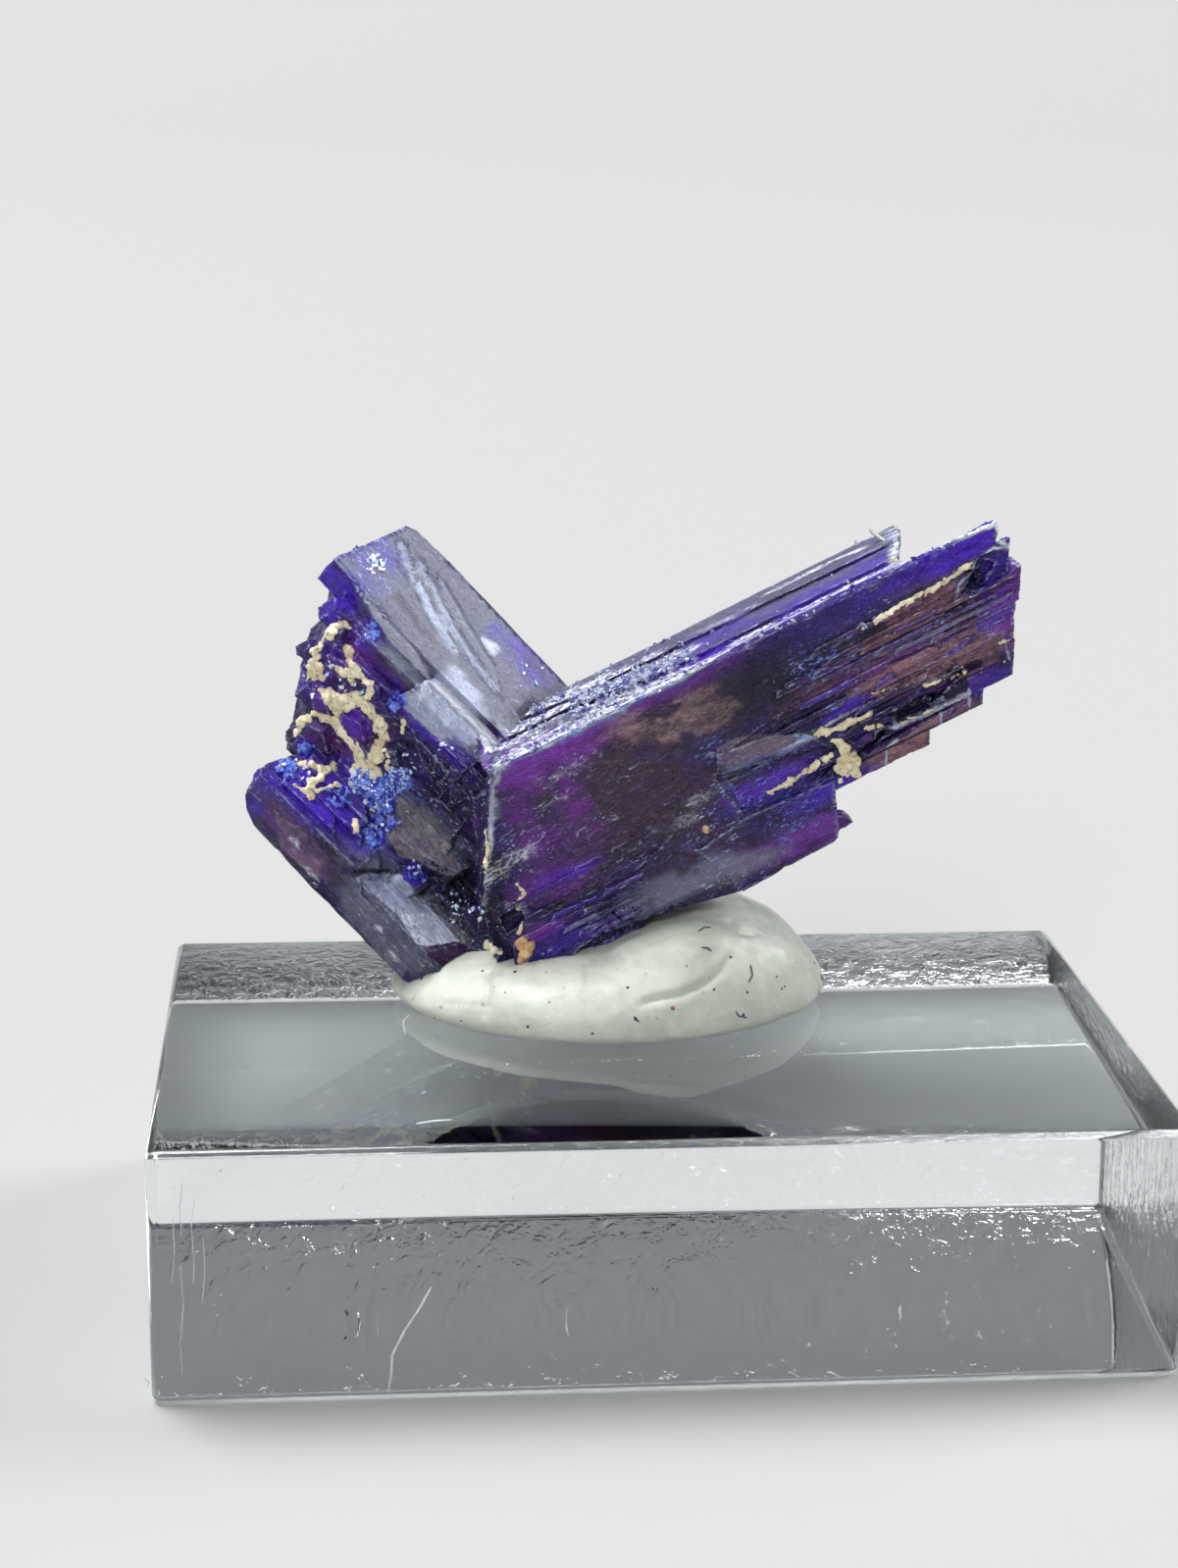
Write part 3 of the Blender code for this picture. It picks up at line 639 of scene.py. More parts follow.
GLITTER_ZONES = (
    ((723, 765), 0.5, 0.5, 1.0),
    ((769, 811), 1.4, 0.6, 1.0),
    ((751, 802), 0.8, 0.6, 0.8),
    ((814, 835), 1.4, 0.6, 1.0),
    ((832, 672), 0.9, 0.6, 0.7),
    ((854, 662), 0.9, 0.4, 0.7),
    ((945, 644), 0.6, 0.3, 0.9),
    ((857, 717), 0.6, 0.3, 0.9),
    ((799, 764), 1.0, 0.3, 0.8),
    ((723, 862), 0.8, 0.7, 0.6),
    ((611, 956), 1.5, 0.4, 0.8),
    ((508, 787), 0.6, 0.5, 0.6),
    ((503, 840), 0.25, 1.6, 0.8),
    ((1010, 640), 1.0, 0.6, 0.5),
    ((385, 575), 0.7, 0.45, 1.0),
    ((380, 805), 0.9, 0.6, 1.0),
    ((410, 802), 0.6, 0.5, 1.0),
    ((390, 790), 0.6, 0.4, 1.0),
    ((370, 852), 0.5, 0.25, 1.0),
    ((267, 807), 0.3, 0.3, 0.6),
    ((305, 785), 0.4, 0.3, 0.8),
    ((507, 642), 0.3, 0.3, 1.0),
    ((600, 737), 2.4, 0.16, 1.0),
    ((660, 707), 1.0, 0.14, 1.0),
)

# Strokes follow a bent line of pixels: the line, half width in mm, and strength.
# Painted glints: silver wrinkles along the top edges of the right wing's plates.
SILVER_GLINT_STROKES = (
    (((502, 785), (529, 764), (581, 740), (635, 713), (684, 689)), 0.5, 1.0),
    (((684, 691), (720, 673), (763, 648), (811, 624), (863, 598)), 0.13, 0.9),
    (((863, 598), (914, 574), (963, 552), (1017, 532)), 0.12, 0.9),
    (((522, 750), (560, 728), (610, 704), (660, 682)), 0.8, 1.0),
    (((584, 706), (640, 688), (702, 664)), 0.4, 0.8),
    (((790, 602), (832, 580), (884, 557)), 0.16, 0.9),
    (((700, 650), (780, 612)), 0.3, 0.4),
    (((892, 546), (916, 538)), 0.2, 0.7),
)
# Painted highlights: bright lines along the plates' edges and the borders of slots and laths, carried by the frost
# layer.
HIGHLIGHT_STROKES = (
    (((503, 787), (529, 769), (581, 745), (635, 718), (684, 694)), 0.14, 1.25),
    (((684, 694), (720, 676), (763, 651), (811, 627), (863, 600)), 0.11, 1.4),
    (((863, 600), (914, 576), (963, 554), (1016, 533)), 0.11, 1.4),
    (((1016, 533), (1018, 553)), 0.1, 1.4),
    (((1018, 553), (1033, 557)), 0.09, 1.3),
    (((1033, 557), (1032, 574), (1042, 578)), 0.06, 1.1),
    (((914, 542), (911, 572)), 0.12, 1.4),
    (((912, 724), (912, 737)), 0.05, 0.9),
    (((946, 695), (970, 686), (988, 678)), 0.05, 0.9),
    (((914, 736), (935, 728), (958, 716)), 0.05, 0.9),
    (((974, 610), (978, 596), (985, 588)), 0.05, 0.9),
    (((1024, 655), (1029, 672)), 0.05, 0.9),
    (((887, 717), (858, 730), (838, 744)), 0.05, 0.8),
    (((826, 806), (848, 792)), 0.05, 0.8),
    (((800, 754), (815, 748), (832, 752)), 0.1, 0.9),
    (((508, 788), (502, 806), (501, 840), (498, 880), (494, 928)), 0.09, 1.4),
    (((990, 608), (990, 585), (998, 570), (1013, 559), (1032, 557)), 0.06, 1.3),
    (((907, 743), (949, 727), (987, 707)), 0.07, 1.2),
    (((904, 782), (904, 763), (915, 755)), 0.05, 1.1),
    (((959, 726), (959, 750)), 0.05, 1.1),
    (((988, 703), (988, 720)), 0.05, 1.0),
)
# Painted sheen: pale streaks along the left wing's roof, over its raised ribbons.
ROOF_SHEEN_STREAKS = (
    (((410, 556), (414, 575), (428, 600), (445, 635), (464, 664)), 0.2, 0.95),
    (((426, 575), (440, 600), (458, 636), (482, 674), (506, 704)), 0.16, 0.9),
    (((446, 588), (469, 628), (501, 680)), 0.1, 0.72),
)
# Painted shade: near-black lines along grooves, gaps and slots.
SHADE_STROKES = (
    (((361, 893), (373, 889), (392, 890), (410, 889)), 0.14, 1.0),
    (((527, 735), (545, 716), (575, 701)), 0.3, 0.8),
    (((405, 608), (430, 640), (445, 655)), 0.12, 0.7),
    (((428, 884), (460, 912), (488, 946), (512, 980)), 0.5, 1.2),
    (((505, 880), (502, 920), (500, 955)), 0.4, 1.2),
    (((430, 965), (470, 975), (500, 985)), 0.3, 0.8),
    (((502, 740), (506, 770), (498, 800)), 0.2, 1.0),
    (((914, 728), (930, 721), (957, 710)), 0.2, 1.0),
    (((962, 690), (982, 682), (998, 677)), 0.14, 1.0),
    (((895, 749), (905, 741)), 0.14, 1.0),
    (((989, 584), (993, 601)), 0.14, 1.0),
)

# Whole facets lightened as painted sheen: layer, a pixel in the facet, how far it reaches in mm, and strength.
SHEEN_FACETS = (
    ("frost_sheen", (472, 725), 3.4, 1.28),
    ("frost_sheen", (412, 660), 2.6, 1.3),
    ("frost_sheen", (440, 728), 1.4, 0.8),
)
FACET_LEVEL = 0.16

# Parts of facets with crisp borders: the outline in pixels, and the strengths there. Frost in them is partly painted
# sheen, silver and fleck are painted glints, and dark is partly painted shade in slots.
PATCHES = (
    (((361, 896), (372, 890), (410, 891), (420, 905), (442, 930), (406, 933), (385, 915)), {"frost_sheen": 0.95, "violet": 0.3}),
    (((406, 933), (442, 930), (468, 960), (437, 965), (424, 962)), {"frost_sheen": 0.95, "silver_glint": 0.45, "fleck_glint": 0.8}),
    (((437, 965), (468, 960), (510, 984), (455, 987), (436, 975)), {"dark": 0.4, "brown": 0.7, "purple": 0.2}),
    (((361, 898), (385, 915), (406, 934), (424, 963), (410, 1000), (392, 985), (350, 920)), {"frost_sheen": 0.42, "fleck_glint": 0.5}),
    (
        ((393, 817), (409, 812), (437, 831), (460, 862), (474, 893), (454, 893), (423, 877), (406, 873), (395, 853)),
        {"frost_sheen": 0.38, "brown": 1.0},
    ),
    (((282, 831), (310, 848), (333, 873), (335, 900), (308, 884), (285, 864)), {"brown": 0.95, "frost_sheen": 0.2, "purple": 0.3}),
    (((410, 885), (420, 878), (432, 884), (437, 897), (425, 904), (412, 898)), {"violet": 1.2, "glitter": 0.5}),
    (((997, 568), (1013, 561), (1030, 563), (1029, 585), (1016, 594), (1004, 600)), {"dark": 0.4, "violet": 0.6}),
    (((997, 568), (1004, 600), (991, 608), (979, 605), (991, 586)), {"dark": 1.0, "glitter": 0.7}),
    (((895, 633), (974, 591), (977, 598), (929, 627), (904, 639)), {"tone": 2, "fleck_glint": 0.3}),
    (((884, 709), (938, 673), (994, 636), (997, 643), (954, 676), (898, 713)), {"tone": 2, "fleck_glint": 0.3}),
    (((974, 675), (1019, 647), (1022, 656), (999, 671), (977, 684)), {"tone": 2}),
    (((915, 722), (949, 709), (987, 688), (987, 702), (954, 719), (915, 738)), {"dark": 1.0}),
    (((905, 763), (938, 741), (958, 728), (958, 749), (932, 765), (905, 781)), {"tone": 2, "brown": 0.8, "fleck_glint": 0.3}),
    (((961, 726), (987, 711), (987, 728), (962, 744)), {"tone": 4}),
    (((731, 763), (750, 752), (787, 748), (818, 752), (790, 768), (733, 782)), {"tone": 4, "frost_sheen": 0.3, "fleck_glint": 0.4}),
)
PATCH_REACH = 0.12
# Painted glints: silver spots laid over the facets.
GLINTS_OVER_FACETS = {
    "silver_glint": (
        ((386, 948), 0.25, 0.2, 0.6),
        ((402, 975), 0.3, 0.2, 0.55),
        ((300, 858), 0.5, 0.15, 0.6),
        ((320, 892), 0.4, 0.15, 0.6),
        ((525, 875), 1.0, 0.35, 0.5),
        ((510, 892), 0.5, 0.3, 0.5),
        ((578, 787), 0.7, 0.18, 0.4),
        ((565, 815), 0.8, 0.18, 0.36),
        ((712, 815), 0.6, 0.3, 0.34),
        ((698, 838), 0.6, 0.25, 0.34),
        ((621, 835), 0.3, 0.1, 0.4),
    ),
}

# Raised ribbons and sunken slots: pixels along each, half width and height in mm.
RIBBONS = (
    (((412, 556), (416, 575), (430, 600), (447, 635), (466, 664)), 0.3, 0.05),
    (((428, 575), (442, 600), (460, 636), (484, 674), (508, 704)), 0.28, 0.05),
    (((447, 588), (470, 628), (502, 680)), 0.2, 0.03),
    (((914, 728), (930, 721), (957, 710)), 0.24, -0.3),
    (((962, 690), (982, 682), (998, 677)), 0.16, -0.25),
    (((895, 749), (905, 741)), 0.16, -0.25),
    (((989, 584), (993, 601)), 0.16, -0.2),
    (((361, 893), (373, 889), (392, 890), (410, 889)), 0.12, -0.14),
)

# The notch at the back plates' end, in the right wing's frame: corners (along, depth), floor and top.
NOTCH = ((14.62, 1.15), (14.9, 0.42), (20.0, 0.42), (20.0, 7.0), (16.1, 7.0))
NOTCH_END = 19.0
NOTCH_FLOOR = -1.0
NOTCH_TOP = 1.0
UPRIGHT = math.tan(math.radians(26.8))

LINE_STEP = 1.5
FINE_REACH = 0.12
FINEST_EDGE = 0.076
FINE_EDGE = 0.145
BACK_EDGE = 0.45
STREAK_TURN = math.radians(-20.7)
MOST_TRIANGLES = 190000


def add_lath(bm, low, high, skew, taper, front, back, tone):
    """A thin slanted lath on the right wing's face between two corners (along, up)."""
    layer = bm.verts.layers.float["lath"]
    width = high[1] - low[1]
    tip = high[1] - taper * width
    outline = (low, (high[0], low[1]), (high[0] + skew * (tip - low[1]), tip), (low[0] + skew * width, high[1]))
    rings = [[bm.verts.new(RIGHT_WING @ Vector((a, depth, s))) for a, s in outline] for depth in (front, back)]
    bm.faces.new(rings[0])
    bm.faces.new(rings[1][::-1])
    for index in range(4):
        after = (index + 1) % 4
        bm.faces.new((rings[0][after], rings[0][index], rings[1][index], rings[1][after]))
    for vert in rings[0] + rings[1]:
        vert[layer] = tone


# Lath fields on the right wing: along from and to, up from and to, share of places filled, shortest
# and longest lath, narrowest and widest, and the tones that they take from LATH_COLOURS.
LATH_FIELDS = (
    (8.8, 17.6, -5.9, -1.4, 0.72, 1.2, 4.4, 0.12, 0.4, (0, 1, 1, 2, 2, 3, 4, 4, 5)),
    (-0.9, 1.5, -7.4, -5.3, 0.9, 0.6, 1.8, 0.08, 0.2, (0, 1, 1, 3, 5)),
)
LATH_PROUD = (0.03, 0.2)
LATH_SKEWS = (0.5, 0.8, 1.1, 0.8, -0.3)
LATH_LEVEL = 0.16


def face_depth(tree, along, up):
    """How deep the right wing's face lies at a place along and up it."""
    start = RIGHT_WING @ Vector((along, -3.0, up))
    place, _, _, _ = tree.ray_cast(start, Vector((0, 1, 0)), 8.0)
    return None if place is None else (TO_RIGHT @ place).y


def add_laths(bm, picks):
    """Short parallel laths that overlap on the face where it is stepped."""
    tree = BVHTree.FromBMesh(bm)
    bm.verts.layers.float.new("lath")
    for first, last, bottom, top, share, shortest, longest, narrow, wide, tones in LATH_FIELDS:
        up = bottom
        while up < top:
            width = picks.uniform(narrow, wide)
            along = first + picks.uniform(0, 1.4)
            while along < last:
                length = picks.uniform(shortest, longest)
                skew = picks.choice(LATH_SKEWS)
                corners = [(along, up), (along + length, up), (along, up + width), (along + length, up + width)]
                depths = [face_depth(tree, *corner) for corner in corners]
                flat = None not in depths and max(depths) - min(depths) < LATH_LEVEL
                if flat and max(depths) < 1.6 and picks.random() < share:
                    front = min(depths) - picks.uniform(*LATH_PROUD)
                    tone = (picks.choice(tones) + 0.5) / len(LATH_COLOURS)
                    taper = picks.choice((0.0, 0.0, 0.3, 0.6))
                    add_lath(bm, corners[0], corners[3], skew, taper, front, max(depths) + 0.1, tone)
                along += length + picks.uniform(0.02, 0.25)
            up += width + picks.uniform(-0.06, 0.08)


def refine_near(bm, lines):
    """Cuts the triangles near bent lines of pixels finer, so that thin lines stay crisp."""
    tree = BVHTree.FromBMesh(bm)
    spots = [seen_near(tree, *point) for line in lines for point in along_path(line, 4.0)]
    near = KDTree(len(spots))
    for index, spot in enumerate(spots):
        near.insert(spot, index)
    near.balance()
    for _ in range(3):
        faces = [face for face in bm.faces if near.find(face.calc_center_median())[2] < FINE_REACH]
        cut = {edge for face in faces for edge in face.edges if edge.calc_length() > FINEST_EDGE}
        bmesh.ops.subdivide_edges(bm, edges=list(cut), cuts=1)
        bmesh.ops.triangulate(bm, faces=[face for face in bm.faces if len(face.verts) > 3])


def notched(bm):
    """Ends the back plates in an upright edge and leaves the front plate's tip thin over it."""
    cutter = bmesh.new()
    for up in (NOTCH_FLOOR, NOTCH_TOP):
        outline = [(along + UPRIGHT * up if along < NOTCH_END else along, depth) for along, depth in NOTCH]
        ring = [cutter.verts.new(RIGHT_WING @ Vector((along, depth, up))) for along, depth in outline]
        cutter.faces.new(ring)
    bmesh.ops.bridge_loops(cutter, edges=cutter.edges)
    bmesh.ops.recalc_face_normals(cutter, faces=cutter.faces)
    return without(bm, cutter)


def crystal_mesh():
    """The solid's mesh in millimetres, with laths, and its flat faces cut into small triangles."""
    bm = node_mesh("azurite_crystals")
    bmesh.ops.dissolve_limit(bm, angle_limit=math.radians(0.4), verts=bm.verts, edges=bm.edges)
    bm = notched(bm)
    bmesh.ops.triangulate(bm, faces=bm.faces)
    add_laths(bm, random.Random(3))
    bmesh.ops.triangulate(bm, faces=[face for face in bm.faces if len(face.verts) > 3])
    toward = -sight(PHOTO_WIDTH / 2, PHOTO_HEIGHT / 2)
    for _ in range(9):
        bm.normal_update()
        longest = {face: FINE_EDGE if face.normal.dot(toward) > 0.02 else BACK_EDGE for face in bm.faces}
        cut = [
            edge
            for edge in bm.edges
            if edge.calc_length() > min([longest[face] for face in edge.link_faces] or [BACK_EDGE])
        ]
        if not cut or len(bm.faces) > MOST_TRIANGLES / 2:
            break
        bmesh.ops.subdivide_edges(bm, edges=cut, cuts=1)
        bmesh.ops.triangulate(bm, faces=[face for face in bm.faces if len(face.verts) > 3])
    refine_near(bm, [points for points, *_ in HIGHLIGHT_STROKES + RIBBONS + PATCHES])
    bm.normal_update()
    return bm


def in_left_wing(place, normal):
    border = -5.42 + max(12.7 - place.z, 0.0) * 0.38
    return place.x < border or normal.dot(LEFT_ROOF) > 0.93


def hashed(*numbers):
    """A steady random number from -1 to 1 for these whole numbers."""
    return noise.noise(Vector((numbers[0] * 7.31 + 0.37, numbers[1] * 3.77 + 0.71, len(numbers) * 5.3)) * 1.37)


def lath_height(along, up):
    """Bricks of parallel laths: rows across the face, broken at uneven places along it."""
    row = math.floor(up / 0.4 + 0.5 * noise.noise(Vector((along * 0.12, up * 0.3, 4.0))))
    length = 2.4 + 1.1 * hashed(row, 5)
    brick = math.floor(along / length + 3.0 * hashed(row, 9))
    return hashed(row * 3 + 1, brick * 5 + 2)


def right_relief(place, normal):
    """How far a point of the right wing stands out of its flat face."""
    along, depth, up = TO_RIGHT @ place
    if normal.y < -0.8:
        rough = 0.12 + 0.88 * smooth_step(7.5, 11.0, along)
        rough = max(rough, 0.8 * smooth_step(2.6, 1.0, along) * smooth_step(-4.2, -5.2, up))
        band = noise.noise(Vector((along * 0.2, up * 2.4, 3.1)))
        steps = math.floor(band * 5) / 5
        fine = noise.noise(Vector((along * 0.7, up * 7.0, 1.7)))
        return rough * (0.10 * lath_height(along, up) + 0.06 * steps) + 0.022 * fine
    if normal.dot(RIGHT_ROOF) > 0.8:
        ridge = noise.noise(Vector((along * 0.25, depth * 5.0, 2.0)))
        grains = noise.noise(place * 5.0)
        druse = smooth_step(8.5, 5.0, along) + smooth_step(0.7, 0.4, depth)
        return 0.04 * ridge + 0.07 * grains * min(druse, 1.0)
    ledge = noise.noise(Vector((along * 1.5, depth * 1.6, up * 4.0)))
    return 0.06 * math.floor(ledge * 4) / 4 + 0.03 * noise.noise(place * 4.0)


def left_relief(place, normal):
    """How far a point of the left wing stands out of its flat face."""
    along, depth, up = TO_LEFT @ place
    if normal.dot(LEFT_ROOF) > 0.9 and up > -0.3:
        across = depth * math.cos(STREAK_TURN) - along * math.sin(STREAK_TURN)
        run = along * math.cos(STREAK_TURN) + depth * math.sin(STREAK_TURN)
        steps = math.floor(noise.noise(Vector((run * 0.12, across * 1.1, 6.0))) * 4) / 4
        return 0.03 * steps + 0.012 * noise.noise(Vector((run * 0.4, across * 4.0, 1.0)))
    ridge = noise.noise(Vector((along * 0.35, depth * 2.6, up * 2.6)))
    lumps = noise.noise(place * 1.7)
    grains = noise.noise(place * 5.5)
    return 0.07 * math.floor(ridge * 5) / 5 + 0.05 * lumps + 0.03 * grains


def relief(bm):
    """Moves each vertex by its wing's relief, and nibbles the sharp edges. Returns how sharp each vertex's edge is, for
    a painted edge highlight.
    """
    moves = []
    rim_highlights = []
    tree = BVHTree.FromBMesh(bm)
    places = np.array([vert.co for vert in bm.verts])
    uneven = np.array([noise.noise(vert.co * 1.6) + 0.5 * noise.noise(vert.co * 5.0) for vert in bm.verts])
    ribbons = np.zeros(len(places))
    for pixels, half_width, height in RIBBONS:
        for point in [seen_near(tree, *pixel) for pixel in along_path(pixels, LINE_STEP)]:
            gap = np.linalg.norm(places - np.array(point), axis=1)
            closer = height * np.clip(1.5 - 1.5 * gap / half_width - 0.25 * uneven, 0.0, 1.0)
            ribbons = np.where(np.abs(closer) > np.abs(ribbons), closer, ribbons)
    for vert, ribbon in zip(bm.verts, ribbons):
        spread = max((face.normal - vert.normal).length for face in vert.link_faces)
        sharp = [edge.calc_face_angle_signed(0.0) for edge in vert.link_edges if edge.is_manifold]
        rim_highlights.append(smooth_step(0.35, 0.9, max(sharp, default=0.0)))
        if in_left_wing(vert.co, vert.normal):
            height = left_relief(vert.co, vert.normal) + ribbon
        else:
            height = right_relief(vert.co, vert.normal) + ribbon
        if spread > 0.3:
            nibble = 0.01 + 0.16 * max(noise.noise(vert.co * 2.1) - 0.2, 0.0)
            height = 0.4 * height - nibble
        moves.append((vert, vert.normal * height))
    for vert, move in moves:
        vert.co += move
    bm.normal_update()
    return rim_highlights


def zone_strength(places, ragged, centres, tilt):
    """For each place the strongest zone that it lies in. The edges are mottled by a noise."""
    found = np.zeros(len(places))
    for centre, half_length, half_width, strength in centres:
        local = (places - centre) @ tilt
        reach = np.sqrt(
            (local[:, 0] / half_length) ** 2
            + (local[:, 1] / (2.5 * half_width)) ** 2
            + (local[:, 2] / half_width) ** 2
        )
        found = np.maximum(found, strength * np.clip(1.6 - reach - 0.6 * ragged, 0.0, 1.0))
    return found


def stroke_strength(places, ragged, tree, strokes):
    """For each place how near it is to the strokes, which follow bent lines on the surface."""
    found = np.zeros(len(places))
    for pixels, half_width, strength in strokes:
        points = [seen(tree, *point)[0] for point in along_path(pixels, LINE_STEP)]
        for point in points:
            if point is None:
                continue
            gap = np.linalg.norm(places - np.array(point), axis=1)
            found = np.maximum(found, strength * np.clip(1.6 - gap / half_width - ragged, 0.0, 1.0))
    return found


def in_outline(u, v, outline):
    """Which pixels lie inside a closed outline of pixels."""
    inside = np.zeros(len(u), bool)
    for (u1, v1), (u2, v2) in zip(outline, outline[1:] + outline[:1]):
        crossed = (v1 > v) != (v2 > v)
        inside ^= crossed & (u < u1 + (u2 - u1) * (v - v1) / (v2 - v1 + 1e-9))
    return inside


def paint_patches(strengths, laths, places, ragged, tree):
    """Gives the surface seen inside each outline that outline's own strengths and lath tone."""
    across, ahead, over = np.array(TO_CAMERA) @ (places - np.array(CAMERA_PLACE)).T
    u = PHOTO_WIDTH / 2 + FOCAL * across / ahead
    v = PHOTO_HEIGHT / 2 - FOCAL * over / ahead
    for outline, values in PATCHES:
        for index in np.flatnonzero(in_outline(u, v, outline)):
            place, _ = seen(tree, u[index], v[index])
            if place is None or (place - Vector(places[index])).length > PATCH_REACH:
                continue
            for layer, strength in strengths.items():
                strength[index] = values.get(layer, 0.0) * (1.0 - 0.3 * ragged[index])
            laths[index] = (values["tone"] + 0.5) / len(LATH_COLOURS) if "tone" in values else 0.0


def paint_zones(piece, tree, rim_highlights):
    """Stores each vertex's place in its wing's frame and its zones, for the material."""
    mesh = piece.data
    count = len(mesh.vertices)
    flat = np.empty(count * 3)
    mesh.vertices.foreach_get("co", flat)
    places = flat.reshape(-1, 3) / MM
    mesh.vertex_normals.foreach_get("vector", flat)
    normals = flat.reshape(-1, 3)
    ragged = np.array([noise.noise(Vector(spot) * 0.9) + 0.6 * noise.noise(Vector(spot) * 3.1) for spot in places])
    broken = 0.4 * ragged + np.array([noise.noise(Vector(spot) * 6.0) for spot in places])
    border = -5.42 + np.maximum(12.7 - places[:, 2], 0.0) * 0.38
    left = (places[:, 0] < border) | (normals @ np.array(LEFT_ROOF) > 0.93)
    grain = np.empty((count, 3))
    layers = {
        "violet": VIOLET_ZONES,
        "purple": PURPLE_ZONES,
        "brown": BROWN_ZONES,
        "frost_sheen": FROST_SHEEN_ZONES,
        "dark": DARK_AND_SHADE_ZONES,
        "fleck_glint": FLECK_GLINT_ZONES,
        "glitter": GLITTER_ZONES,
    }
    strengths = {layer: np.zeros(count) for layer in layers}
    for side, wing in ((left, LEFT_WING), (~left, RIGHT_WING)):
        turn = np.array(wing.to_3x3())
        grain[side] = (places[side] - np.array(wing.translation)) @ turn
        for layer, zones in layers.items():
            centres = [(np.array(seen_near(tree, *pixel)), *sizes) for pixel, *sizes in zones]
            strengths[layer][side] = zone_strength(places[side], ragged[side], centres, turn)
    # Painted glints: the silver strokes show only on faces that face up, where the light falls.
    upward = np.clip((normals @ np.array(RIGHT_ROOF) - 0.35) / 0.4, 0.0, 1.0)
    strengths["silver_glint"] = upward * stroke_strength(places, broken, tree, SILVER_GLINT_STROKES)
    # Painted highlights along the edges, which clear the violet under them.
    highlight_lines = stroke_strength(places, broken, tree, HIGHLIGHT_STROKES)
    strengths["violet"] *= 1.0 - np.minimum(highlight_lines, 1.0)
    # Painted shade along grooves, gaps and slots.
    strengths["dark"] = np.maximum(strengths["dark"], stroke_strength(places, broken, tree, SHADE_STROKES))
    # Painted sheen streaks on the left wing's roof.
    streaks = stroke_strength(places, 0.3 * ragged, tree, ROOF_SHEEN_STREAKS)
    strengths["frost_sheen"] = np.maximum.reduce([strengths["frost_sheen"], highlight_lines, streaks])
    # Painted sheen: whole facets turned to the light are lightened by frost, and their other tones weakened.
    for layer, pixel, reach, strength in SHEEN_FACETS:
        middle, facing = seen(tree, *pixel)
        offset = places - np.array(middle)
        level = np.abs(offset @ np.array(facing)) < FACET_LEVEL
        inside = level & (normals @ np.array(facing) > 0.75) & (np.linalg.norm(offset, axis=1) < reach)
        for other in ("violet", "purple", "brown", "dark"):
            strengths[other] *= 1.0 - 0.8 * strength * inside
        strengths[layer] = np.maximum(strengths[layer], strength * inside)
    laths = np.empty(count)
    mesh.attributes["lath"].data.foreach_get("value", laths)
    paint_patches(strengths, laths, places, ragged, tree)
    mesh.attributes["lath"].data.foreach_set("value", laths)
    for layer, zones in GLINTS_OVER_FACETS.items():
        centres = [(np.array(seen_near(tree, *pixel)), *sizes) for pixel, *sizes in zones]
        for side, wing in ((left, LEFT_WING), (~left, RIGHT_WING)):
            over = zone_strength(places[side], ragged[side], centres, np.array(wing.to_3x3()))
            strengths[layer][side] = np.maximum(strengths[layer][side], over)
    # Painted sheen: the roofs that face up, and the back plate's top, are lightened by frost.
    left_roof = left & (normals @ np.array(LEFT_ROOF) > 0.85)
    right_roof = ~left & (normals @ np.array(RIGHT_ROOF) > 0.8)
    strengths["frost_sheen"] = np.maximum(strengths["frost_sheen"], 0.5 * left_roof * (grain[:, 2] > -0.6))
    strengths["frost_sheen"] = np.maximum(strengths["frost_sheen"], 0.15 * left_roof)
    depth = grain[:, 1]
    groove = right_roof & (depth > 0.45) & (depth < 1.25) & (grain[:, 0] > 6)
    strengths["frost_sheen"] = np.maximum(strengths["frost_sheen"], 0.4 * (right_roof & (depth > 1.25)))
    strengths["violet"] = np.maximum(strengths["violet"], 0.6 * groove)
    for name, names in (
        ("tones", ("violet", "purple", "brown", "frost_sheen")),
        ("marks", ("dark", "fleck_glint", "glitter", "silver_glint")),
    ):
        colours = np.stack([strengths[layer] for layer in names], axis=1)
        mesh.attributes.new(name, "FLOAT_COLOR", "POINT").data.foreach_set("color", colours.ravel())
    mesh.attributes.new("grain", "FLOAT_VECTOR", "POINT").data.foreach_set("vector", grain.ravel())
    # How sharp each edge is, for the painted edge highlight.
    mesh.attributes.new("rim", "FLOAT", "POINT").data.foreach_set("value", rim_highlights)


def tree_of(piece):
    bm = bmesh.new()
    bm.from_mesh(piece.data)
    bm.transform(Matrix.Scale(1 / MM, 4))
    made = BVHTree.FromBMesh(bm)
    bm.free()
    return made


def make_crystals():
    bm = crystal_mesh()
    rim_highlights = relief(bm)
    piece = add_piece("crystals", bm, [azurite_material()])
    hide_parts("azurite_crystals")
    shade(piece, 32)
    tree = tree_of(piece)
    paint_zones(piece, tree, rim_highlights)
    return piece, tree


# Crusts, druse, grains and fibres. Their paths are seen at pixels of the photograph and lie on the
# surface found there.

